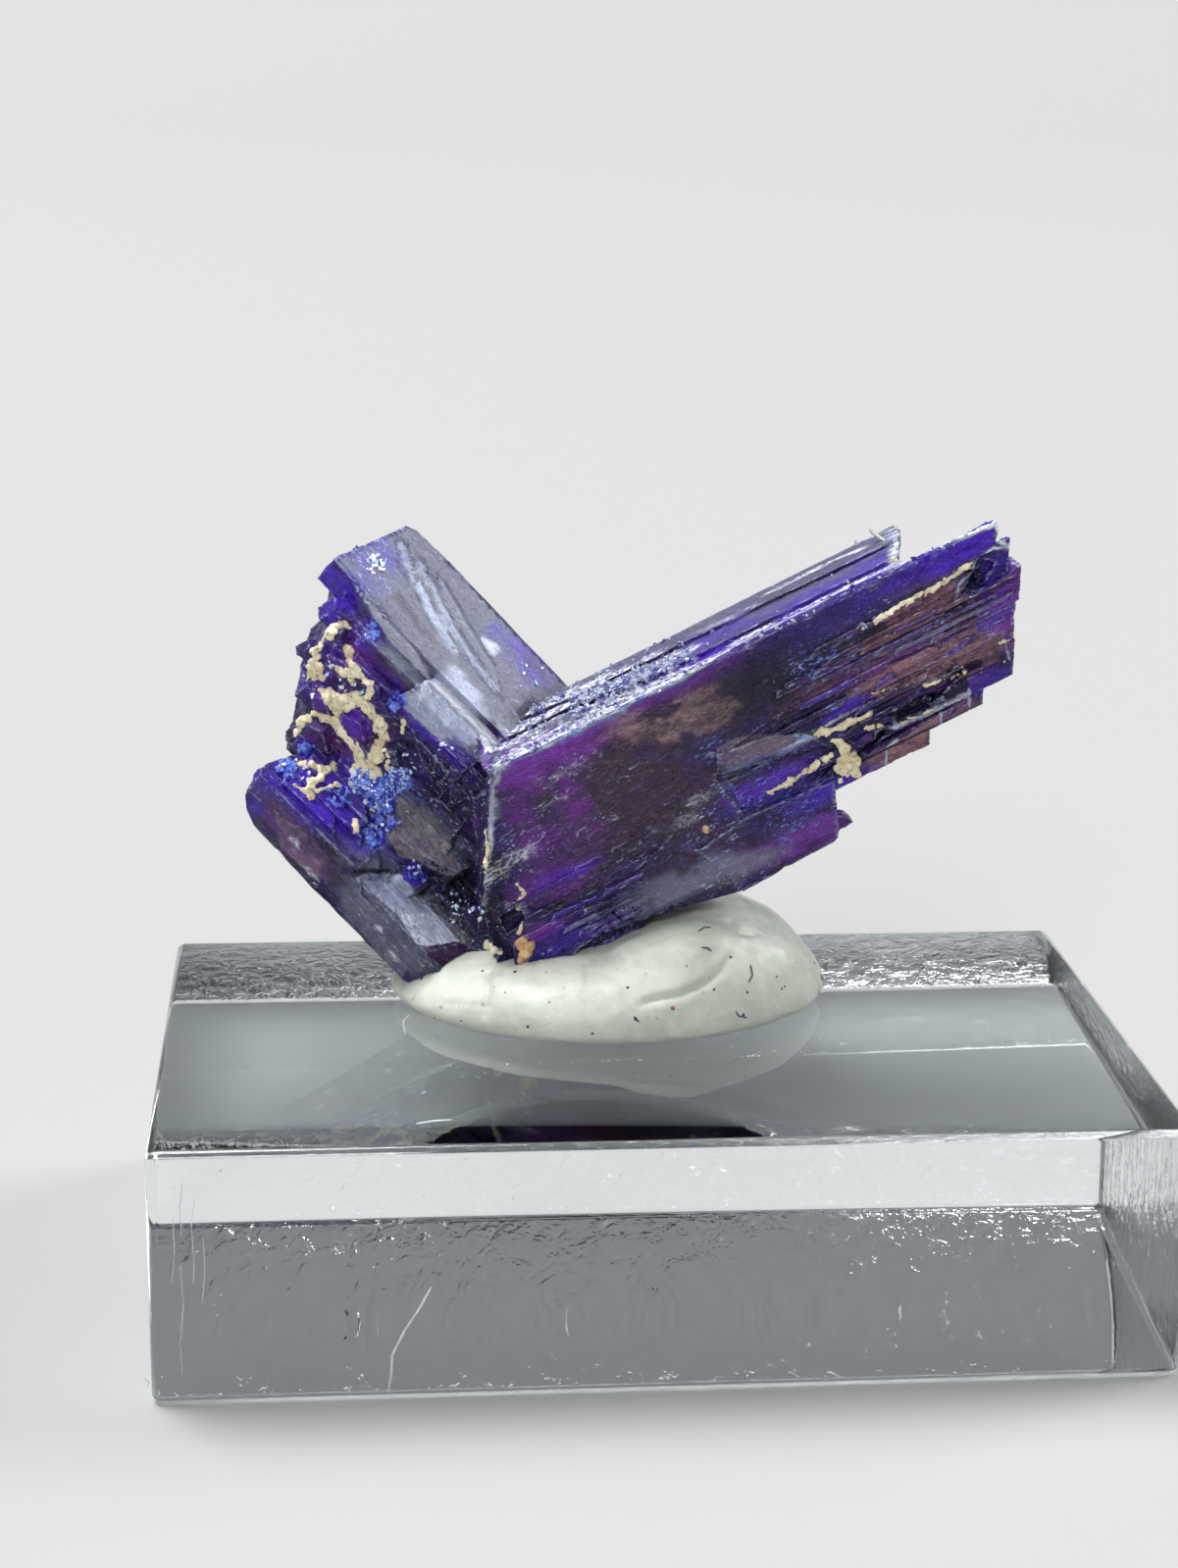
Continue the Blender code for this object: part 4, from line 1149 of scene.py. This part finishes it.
CLAY_BANDS = (
    (((350, 637), (333, 647), (323, 662), (317, 680), (315, 692)), 0.16),
    (((315, 692), (330, 690)), 0.128),
    (((317, 686), (324, 682)), 0.16),
    (((355, 662), (357, 675), (370, 690), (377, 698), (376, 710), (365, 717)), 0.136),
    (((365, 717), (352, 722), (344, 728), (334, 716), (328, 704)), 0.16),
    (((336, 704), (350, 714), (362, 710)), 0.16),
    (((347, 682), (358, 692)), 0.144),
    (((303, 748), (310, 735), (322, 727), (340, 735), (352, 750), (365, 767)), 0.152),
    (((373, 722), (387, 735), (390, 752), (383, 770), (375, 785), (387, 790)), 0.192),
    (((360, 783), (375, 785), (366, 772)), 0.16),
    (((412, 735), (410, 747)), 0.096),
    (((390, 762), (397, 772), (395, 783)), 0.096),
    (((307, 777), (325, 783), (340, 780), (328, 792), (318, 800), (315, 815)), 0.136),
    (((345, 800), (328, 805), (317, 808), (301, 801)), 0.104),
    (((362, 838), (362, 848)), 0.1),
    (((912, 556), (912, 573)), 0.09),
    (((1020, 656), (1028, 653)), 0.07),
    (((1024, 675), (1029, 677)), 0.06),
    (((528, 902), (534, 912), (524, 920), (531, 928)), 0.08),
    (((533, 938), (529, 952)), 0.07),
    (((496, 962), (503, 966), (510, 970)), 0.14),
)
CLAY_FILLS = (
    ((321, 685), 0.22),
    ((319, 678), 0.18),
    ((354, 712), 0.26),
    ((345, 722), 0.24),
    ((362, 715), 0.22),
    ((337, 705), 0.18),
    ((377, 778), 0.26),
    ((370, 786), 0.24),
    ((385, 787), 0.2),
    ((328, 786), 0.22),
    ((318, 797), 0.2),
    ((390, 740), 0.2),
    ((285, 782), 0.12),
    ((466, 840), 0.08),
    ((356, 640), 0.12),
)
RIGHT_BANDS = (
    (((12.0, -1.27), (13.2, -1.18)), 0.05),
    (((13.05, -1.18), (14.8, -1.03), (16.55, -0.87)), 0.15),
    (((9.76, -3.75), (10.7, -3.86), (11.66, -3.95)), 0.14),
    (((7.52, -4.83), (8.6, -4.75), (9.71, -4.65)), 0.11),
    (((9.0, -4.66), (9.9, -4.6)), 0.1),
    (((13.6, -3.88), (14.93, -4.08)), 0.09),
    (((12.35, -4.62), (14.67, -4.85)), 0.06),
    (((11.9, -3.3), (12.7, -3.5)), 0.08),
    (((10.3, -4.5), (10.6, -5.0), (10.3, -5.5), (9.95, -5.2), (10.2, -4.8)), 0.2),
    (((10.25, -4.2), (10.35, -4.6)), 0.14),
    (((10.2, -5.0), (10.25, -5.2)), 0.24),
    (((9.8, -5.5), (9.9, -5.9)), 0.12),
    (((11.3, -4.3), (11.8, -4.45)), 0.1),
    (((-1.21, -1.65), (-1.5, -2.3), (-1.88, -2.99)), 0.09),
)
OCHRE_LUMP = ((532, 962), (541, 964), (536, 972), (531, 980))
OCHRE_DOT = (720, 846)
CLAY_STEP = 0.1
CLAY_VOXEL = 0.045


def along_path(points, step):
    """Points along a bent line, about a step apart."""
    made = []
    for start, end in zip(points, points[1:]):
        start, end = Vector(start), Vector(end)
        count = max(int((end - start).length / step), 1)
        made += [start.lerp(end, index / count) for index in range(count)]
    return made + [Vector(points[-1])]


def add_lump(bm, place, radius, flatness, normal):
    """A small ball pressed flat along a surface's normal."""
    turn = normal.to_track_quat("Z", "Y").to_matrix().to_4x4()
    size = Matrix.Diagonal((radius, radius, radius * flatness, 1.0))
    bmesh.ops.create_icosphere(bm, subdivisions=2, radius=1.0, matrix=Matrix.Translation(place) @ turn @ size)


def wing_pixel(wing, along, up):
    """The pixel of the photograph in which a point of a wing's front face is seen."""
    across, ahead, over = TO_CAMERA @ (wing @ Vector((along, 0.0, up)) - CAMERA_PLACE)
    return PHOTO_WIDTH / 2 + FOCAL * across / ahead, PHOTO_HEIGHT / 2 - FOCAL * over / ahead


def make_clay(tree):
    """Cream clay dried in the pits between the crystals."""
    pixel_step = CLAY_STEP * FOCAL / 90.0
    bands = [(along_path(points, pixel_step), width * 1.25) for points, width in CLAY_BANDS]
    for points, width in RIGHT_BANDS:
        pixels = [wing_pixel(RIGHT_WING, *point) for point in points]
        bands.append((along_path(pixels, pixel_step), width))
    bm = bmesh.new()
    picks = random.Random(5)
    for points, width in bands:
        for point in points:
            place, normal = seen(tree, *point)
            if place is None:
                continue
            wide = width * (1.0 + 0.5 * noise.noise(place * 2.9))
            jitter = Vector((picks.uniform(-1, 1), picks.uniform(-1, 1), picks.uniform(-1, 1))) * wide * 0.35
            add_lump(bm, place + jitter, wide, 0.34, normal)
    for pixel, radius in CLAY_FILLS:
        place, normal = seen(tree, *pixel)
        add_lump(bm, place, radius, 0.45, normal)
    skin = remeshed(bm, CLAY_VOXEL, 1)
    skin.normal_update()
    for vert in skin.verts:
        vert.co += vert.normal * (0.06 * noise.noise(vert.co * 4.0) + 0.035 * noise.noise(vert.co * 13.0))
    piece = add_piece("clay_crusts", skin, [clay_material()])
    shade(piece, 80)


def make_ochre(tree):
    """The ochre lump at the foot of the group and the orange grain on its face."""
    bm = bmesh.new()
    for radius, pixel in zip((0.26, 0.2, 0.24, 0.13), OCHRE_LUMP):
        place, normal = seen(tree, *pixel)
        add_lump(bm, place, radius, 0.9, normal)
    place, normal = seen(tree, *OCHRE_DOT)
    add_lump(bm, place, 0.14, 0.8, normal)
    skin = remeshed(bm, CLAY_VOXEL, 1)
    skin.normal_update()
    for vert in skin.verts:
        vert.co += vert.normal * 0.07 * noise.noise(vert.co * 3.5)
    shade(add_piece("ochre_grains", skin, [ochre_material()]), 80)


# Areas of druse on the left wing and at the foot: pixel, radius in pixels, number of crystals.
BLUE_DRUSE = (
    ((374, 798), 15, 150),
    ((406, 796), 13, 100),
    ((390, 815), 14, 80),
    ((395, 835), 12, 40),
    ((424, 892), 9, 16),
    ((345, 812), 12, 30),
    ((292, 785), 10, 60),
    ((380, 852), 10, 40),
    ((405, 715), 8, 40),
    ((312, 765), 8, 40),
    ((380, 645), 8, 30),
)
# Painted glints: near-white crystals among the blue druse stand for its highlights.
GLINT_DRUSE = (
    ((370, 796), 15, 130),
    ((404, 795), 13, 100),
    ((385, 815), 14, 60),
    ((424, 884), 8, 8),
    ((378, 850), 10, 10),
    ((300, 782), 20, 10),
    ((415, 775), 14, 8),
    ((455, 765), 14, 6),
    ((472, 925), 22, 22),
    ((340, 690), 34, 24),
    ((385, 576), 11, 30),
    ((540, 690), 16, 6),
)
GROOVE_DRUSE = (
    ((590, 720), 11, 50),
    ((605, 713), 11, 50),
    ((620, 706), 11, 50),
    ((635, 699), 11, 50),
    ((650, 692), 11, 50),
    ((665, 685), 10, 40),
    ((682, 677), 9, 30),
    ((700, 668), 8, 16),
)
DARK_DRUSE = (
    ((472, 925), 20, 80),
    ((500, 962), 20, 120),
    ((440, 895), 18, 60),
    ((640, 945), 22, 60),
    ((690, 935), 16, 40),
    ((510, 905), 10, 30),
)


def add_crystallite(bm, picks, place, normal, size):
    """A tiny pointed prism standing roughly out of a surface."""
    lean = Vector((picks.uniform(-1, 1), picks.uniform(-1, 1), picks.uniform(-1, 1))) * 0.8
    turn = (normal + lean).to_track_quat("Z", "Y").to_matrix().to_4x4()
    spin = Matrix.Rotation(picks.uniform(0, math.pi), 4, "Z")
    scale = Matrix.Diagonal((size, size * picks.uniform(0.4, 0.8), size * picks.uniform(0.5, 1.3), 1.0))
    bmesh.ops.create_cone(
        bm,
        cap_ends=True,
        cap_tris=True,
        segments=picks.choice((4, 5, 6)),
        radius1=0.55,
        radius2=0.3,
        depth=1.0,
        matrix=Matrix.Translation(place) @ turn @ spin @ scale,
    )


def druse_patch(bm, picks, tree, patches, low, high):
    for (u, v), spread, count in patches:
        for _ in range(count):
            angle = picks.uniform(0, 2 * math.pi)
            reach = spread * math.sqrt(picks.random())
            place, normal = seen(tree, u + reach * math.cos(angle), v + reach * math.sin(angle))
            if place is not None:
                add_crystallite(bm, picks, place, normal, picks.uniform(low, high))


def roof_druse(bm, picks, piece, count):
    """Silvery druse on the top edges of the right wing's plates, thickest near the corner."""
    mesh = piece.data
    spots = []
    weights = []
    for face in mesh.polygons:
        if face.normal.dot(RIGHT_ROOF) < 0.75:
            continue
        place = face.center / MM
        along, depth, up = TO_RIGHT @ place
        if up < -1.5 or place.x < -5.2:
            continue
        near = smooth_step(9.0, 3.5, along) + 0.9 * smooth_step(0.75, 0.3, depth) + 0.06
        spots.append((place, face.normal.copy()))
        weights.append(face.area * near)
    for place, normal in picks.choices(spots, weights, k=count):
        shift = Vector((picks.uniform(-0.1, 0.1), picks.uniform(-0.1, 0.1), 0.0))
        add_crystallite(bm, picks, place + shift - normal * 0.01, normal, picks.uniform(0.08, 0.2))


def make_druse(piece, tree):
    picks = random.Random(11)
    # Silver druse: real crystals, whose pale colour is partly painted sparkle.
    silver_glint = bmesh.new()
    roof_druse(silver_glint, picks, piece, 700)
    druse_patch(silver_glint, picks, tree, GROOVE_DRUSE, 0.12, 0.26)
    silver_skin = druse_material("silver_druse", (0.5, 0.55, 0.7), (0.08, 0.08, 0.3), 0.22)
    shade(add_piece("silver_druse", silver_glint, [silver_skin]), 20)
    blue = bmesh.new()
    druse_patch(blue, picks, tree, BLUE_DRUSE, 0.1, 0.28)
    blue_skin = druse_material("blue_druse", (0.22, 0.34, 0.9), (0.03, 0.03, 0.38), 0.1)
    shade(add_piece("blue_druse", blue, [blue_skin]), 20)
    # Near-white druse: painted glints.
    pale = bmesh.new()
    druse_patch(pale, picks, tree, GLINT_DRUSE, 0.08, 0.22)
    glint_skin = druse_material("glint_druse", (0.97, 1.0, 1.0), (0.5, 0.68, 1.0), 0.12)
    shade(add_piece("glint_druse", pale, [glint_skin]), 20)
    dark = bmesh.new()
    druse_patch(dark, picks, tree, DARK_DRUSE, 0.07, 0.16)
    dark_skin = druse_material("dark_druse", (0.03, 0.02, 0.14), (0.008, 0.005, 0.03), 0.12)
    shade(add_piece("dark_druse", dark, [dark_skin]), 20)


# Tack.

TACK_CENTRE = (-0.95, 3.4)
TACK_RADII = (7.4, 5.35)
TACK_RIM = 0.55
TACK_PROFILE = ((-8.3, 1.2), (-6.6, 2.0), (-2.2, 2.5), (2.3, 3.72), (4.6, 3.27), (6.4, 2.4))
TACK_SQUARENESS = 0.5
TACK_FOLD_CENTRE = Vector((0.45, 0.72, 10.35))
TACK_FOLD_RADII = (2.5, 1.78, 1.2)
TACK_FOLD_TILT = 19.0
TACK_VOXEL = 0.11
BLOCK_TOP = 8.2

# Creases and dents in the tack: pixels along each, half width in mm, depth in mm.
TACK_CREASES = (
    (((657, 1022), (695, 1014), (720, 1003), (736, 990), (746, 975)), 0.3, 0.17),
    (((597, 981), (598, 992), (600, 1004)), 0.1, 0.07),
    (((417, 1022), (455, 1023), (500, 1026)), 0.14, 0.05),
    (((498, 992), (497, 1012), (495, 1034)), 0.3, 0.08),
    (((412, 1000), (410, 1018)), 0.25, 0.1),
    (((745, 940), (752, 950), (770, 952)), 0.3, 0.16),
    (((650, 950), (662, 962)), 0.2, 0.06),
)
TACK_SPECKS = (
    ((430, 998), 0.07, 0),
    ((438, 1038), 0.05, 0),
    ((443, 1038), 0.045, 0),
    ((538, 1047), 0.05, 0),
    ((648, 1039), 0.06, 0),
    ((604, 1054), 0.045, 0),
    ((686, 1028), 0.08, 1),
    ((525, 991), 0.06, 0),
    ((492, 990), 0.05, 0),
    ((640, 1007), 0.05, 0),
    ((762, 1012), 0.05, 0),
    ((758, 1035), 0.06, 0),
    ((792, 996), 0.05, 1),
    ((797, 1008), 0.05, 1),
    ((800, 1006), 0.04, 0),
    ((728, 1009), 0.045, 0),
    ((745, 976), 0.05, 0),
    ((722, 967), 0.04, 0),
    ((806, 1043), 0.04, 0),
    ((700, 985), 0.035, 1),
    ((515, 1012), 0.035, 1),
    ((560, 1022), 0.035, 1),
    ((470, 1041), 0.035, 0),
    ((830, 982), 0.05, 0),
)
DARK_FIBRES = (
    ((765, 984), (767, 994), (763, 1002)),
    ((712, 950), (718, 946), (725, 946)),
    ((750, 1031), (753, 1036), (762, 1038)),
    ((836, 993), (839, 1004), (840, 1014)),
    ((715, 966), (721, 967), (726, 970)),
    ((646, 1036), (650, 1041), (653, 1042)),
)
CURL = ((887, 539), (889, 543), (894, 546), (899, 550), (903, 551))
CURL_ANCHOR = (899, 551)
PALE_FIBRES = (((417, 1035), (411, 1041), (412, 1049), (413, 1053)),)


def tack_height(x):
    """Height of the tack over the block at a place along it."""
    for (low, start), (high, end) in zip(TACK_PROFILE, TACK_PROFILE[1:]):
        if x <= high:
            return start + (end - start) * smooth_step(low, high, x)
    return TACK_PROFILE[-1][1]


def tack_lumps():
    bm = bmesh.new()
    bmesh.ops.create_uvsphere(bm, u_segments=128, v_segments=64, radius=1.0)
    for vert in bm.verts:
        reach = math.hypot(vert.co.x, vert.co.y)
        spread = reach ** (TACK_SQUARENESS - 1.0) if reach > 1e-6 else 0.0
        x = TACK_CENTRE[0] + TACK_RADII[0] * vert.co.x * spread
        y = TACK_CENTRE[1] + TACK_RADII[1] * vert.co.y * spread
        if vert.co.z > 0:
            z = TACK_RIM + (tack_height(x) - TACK_RIM) * vert.co.z
        else:
            z = TACK_RIM * (1 + max(vert.co.z / 0.6, -1.0))
        vert.co = Vector((x, y, BLOCK_TOP + z))
    turn = Matrix.Rotation(math.radians(-TACK_FOLD_TILT), 4, "Y")
    fold = Matrix.Translation(TACK_FOLD_CENTRE) @ turn @ Matrix.Diagonal((*TACK_FOLD_RADII, 1.0))
    bmesh.ops.create_uvsphere(bm, u_segments=48, v_segments=24, radius=1.0, matrix=fold)
    return bm


def segment_gap(place, start, end):
    """Distance from a place to a line between two points."""
    run = end - start
    share = min(max((place - start).dot(run) / run.length_squared, 0.0), 1.0)
    return (place - start.lerp(end, share)).length


def press_tack(bm):
    """Creases, dents and the soft unevenness of tack that was pressed by hand."""
    tree = BVHTree.FromBMesh(bm)
    creases = []
    for pixels, width, depth in TACK_CREASES:
        path = [seen(tree, *pixel)[0] for pixel in pixels]
        path = [place for place in path if place is not None]
        creases.append((path, width, depth))
    bm.normal_update()
    for vert in bm.verts:
        move = 0.07 * noise.noise(vert.co * 0.55) + 0.02 * noise.noise(vert.co * 2.4)
        for path, width, depth in creases:
            gap = min(segment_gap(vert.co, start, end) for start, end in zip(path, path[1:]))
            if gap < width:
                move -= depth * (1 - gap / width) ** 2
        grounded = smooth_step(BLOCK_TOP + 0.02, BLOCK_TOP + 0.4, vert.co.z)
        vert.co += vert.normal * move * grounded
        vert.co.z = max(vert.co.z, BLOCK_TOP)


def add_thread(bm, points, radius):
    """A thin fibre through points, as a four-sided tube with tapered ends."""
    rings = []
    for index, point in enumerate(points):
        ahead = points[min(index + 1, len(points) - 1)] - points[max(index - 1, 0)]
        turn = ahead.to_track_quat("Z", "Y")
        thick = radius * (0.4 if index in (0, len(points) - 1) else 1.0)
        corners = [Vector((thick * math.cos(a), thick * math.sin(a), 0)) for a in (0, 1.57, 3.14, 4.71)]
        rings.append([bm.verts.new(point + turn @ corner) for corner in corners])
    for ring, following in zip(rings, rings[1:]):
        for side in range(4):
            after = (side + 1) % 4
            bm.faces.new((ring[side], ring[after], following[after], following[side]))
    bm.faces.new(rings[0][::-1])
    bm.faces.new(rings[-1])


def on_block(u, v, lift):
    """The place over the block's top, by a lift, that is seen at a pixel of the photograph."""
    ray = sight(u, v)
    return CAMERA_PLACE + ray * ((BLOCK_TOP + lift - CAMERA_PLACE.z) / ray.z)


def fibre_path(tree, pixels, lift):
    """A fibre's points on a surface, lifted a little off it."""
    made = []
    for point in along_path(pixels, 2.0):
        place, normal = seen(tree, *point)
        if place is not None:
            made.append(place + normal * lift)
    return made


def make_tack(crystals):
    bm = remeshed(tack_lumps(), TACK_VOXEL, 2)
    press_tack(bm)
    tree = BVHTree.FromBMesh(bm)
    bm = without(bm, node_mesh("azurite_crystals"))
    piece = add_piece("tack_roll", bm, [tack_material()])
    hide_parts("mineral_tack")
    shade(piece, 50)
    bits = bmesh.new()
    brown = bmesh.new()
    for pixel, radius, kind in TACK_SPECKS:
        place, normal = seen(tree, *pixel)
        if place is not None:
            add_lump(brown if kind else bits, place, radius, 0.5, normal)
    for pixels in DARK_FIBRES:
        add_thread(bits, fibre_path(tree, pixels, 0.01), 0.028)
    add_piece("dark_specks", bits, [plain_material("dark_grit", (0.045, 0.05, 0.085), 0.6)])
    add_piece("brown_specks", brown, [plain_material("brown_grit", (0.34, 0.19, 0.08), 0.7)])
    pale = bmesh.new()
    for pixels in PALE_FIBRES:
        add_thread(pale, [on_block(*point, 0.05) for point in along_path(pixels, 2.0)], 0.035)
    reach = (seen_near(crystals, *CURL_ANCHOR) - CAMERA_PLACE).length
    add_thread(pale, [CAMERA_PLACE + sight(*point) * reach for point in along_path(CURL, 2.0)], 0.06)
    add_piece("pale_fibre", pale, [plain_material("pale_lint", (0.7, 0.7, 0.68), 0.6)])


# Clear base.

BASE_ROUND = 0.3

# Hair-fine scratches on the block's front, and a speck and a short line on its top, by their pixels.
FRONT_SCRATCHES = (
    (((440, 1312), (428, 1334), (412, 1358), (400, 1382), (399, 1402), (396, 1420)), 0.035),
    (((146, 1404), (152, 1410), (149, 1416)), 0.03),
    (((186, 1206), (183, 1232), (185, 1262)), 0.014),
    (((184, 1290), (187, 1330), (184, 1368), (186, 1404)), 0.01),
    (((198, 1222), (195, 1250), (198, 1290), (197, 1310)), 0.012),
    (((207, 1262), (209, 1298), (206, 1330)), 0.01),
    (((176, 1240), (178, 1276), (175, 1310)), 0.012),
)
TOP_MARKS = ((((424, 1146), (442, 1143), (461, 1142)), 0.03), (((430, 1115), (434, 1113)), 0.06))


def on_front(u, v):
    """The place on the block's front face that is seen at a pixel of the photograph."""
    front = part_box("acrylic_base")[0][1] / MM
    ray = sight(u, v)
    return CAMERA_PLACE + ray * ((front - CAMERA_PLACE.y) / ray.y)


def make_scratches():
    bm = bmesh.new()
    for pixels, radius in FRONT_SCRATCHES:
        add_thread(bm, [on_front(*point) for point in along_path(pixels, 5.0)], radius)
    for pixels, radius in TOP_MARKS:
        add_thread(bm, [on_block(*point, 0.01) for point in along_path(pixels, 4.0)], radius)
    add_piece("base_scratches", bm, [plain_material("scratched_white", (0.75, 0.8, 0.8), 0.5)])


def make_base():
    low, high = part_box("acrylic_base")
    bm = bmesh.new()
    bmesh.ops.create_cube(bm, size=1.0)
    bmesh.ops.scale(bm, vec=(high - low) / MM, verts=bm.verts)
    bmesh.ops.translate(bm, vec=(high + low) / 2 / MM, verts=bm.verts)
    bmesh.ops.bevel(
        bm,
        geom=bm.edges,
        offset=BASE_ROUND,
        offset_type="OFFSET",
        segments=4,
        profile=0.5,
        affect="EDGES",
    )
    for face in bm.faces:
        if face.normal.y > 0.9 or abs(face.normal.x) > 0.9:
            face.material_index = 1
    piece = add_piece("clear_base", bm, [clear_material(), sawn_material()])
    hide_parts("acrylic_base")
    shade(piece, 60)


# Light and floor.

FLOOR_GAP = 0.04
FLOOR_FLAT = 0.7
FLOOR_RIM = 0.5
FLOOR_RISE = 0.09
FLOOR_SIDES = 96
FLOOR_STEPS = 8


def make_light(name, place, target, size, power, colour=(1.0, 1.0, 1.0)):
    lamp = bpy.data.lights.new(name, "AREA")
    lamp.shape = "RECTANGLE"
    lamp.size, lamp.size_y = size
    lamp.energy = power
    lamp.color = colour
    holder = bpy.data.objects.new(name, lamp)
    holder.location = place
    holder.rotation_euler = (Vector(target) - Vector(place)).to_track_quat("-Z", "Y").to_euler()
    bpy.context.scene.collection.objects.link(holder)


def floor_disc():
    """A flat disc in metres whose rim turns up gently, so that it fills the view."""
    bm = bmesh.new()
    rings = []
    for step in range(FLOOR_STEPS + 1):
        share = step / FLOOR_STEPS
        reach = FLOOR_FLAT + FLOOR_RIM * share
        angles = [2 * math.pi * side / FLOOR_SIDES for side in range(FLOOR_SIDES)]
        ring = [(reach * math.cos(angle), reach * math.sin(angle), FLOOR_RISE * share**2) for angle in angles]
        rings.append([bm.verts.new(corner) for corner in ring])
    bm.faces.new(rings[0])
    for inner, outer in zip(rings, rings[1:]):
        for side in range(FLOOR_SIDES):
            after = (side + 1) % FLOOR_SIDES
            bm.faces.new((inner[side], outer[side], outer[after], inner[after]))
    return bm


def make_studio():
    world = bpy.data.worlds.new("studio")
    world.use_nodes = True
    sky = world.node_tree.nodes["Background"]
    sky.inputs["Color"].default_value = (0.78, 0.8, 0.84, 1.0)
    sky.inputs["Strength"].default_value = 0.26
    bpy.context.scene.world = world
    bpy.context.scene.view_settings.view_transform = "Standard"
    bm = floor_disc()
    mesh = bpy.data.meshes.new("floor")
    bm.to_mesh(mesh)
    bm.free()
    mesh.shade_smooth()
    floor = Shader("floor", Base_Color=(0.42, 0.42, 0.415, 1.0), Roughness=0.7)
    mesh.materials.append(floor.material)
    piece = bpy.data.objects.new("floor", mesh)
    piece.location.z = -FLOOR_GAP * MM
    bpy.context.scene.collection.objects.link(piece)
    middle = (0.0, 0.003, 0.014)
    make_light("overhead", (-0.9, 0.56, 2.8), middle, (1.5, 1.5), 118.0)
    make_light("front_left", (-0.8, -3.1, 1.9), middle, (1.05, 1.05), 53.0)
    make_light("roof_glow", (2.55, 0.93, 2.13), middle, (1.5, 1.5), 60.0)


def main():
    make_camera()
    make_studio()
    piece, tree = make_crystals()
    make_clay(tree)
    make_ochre(tree)
    make_druse(piece, tree)
    make_tack(tree)
    make_base()
    make_scratches()


main()
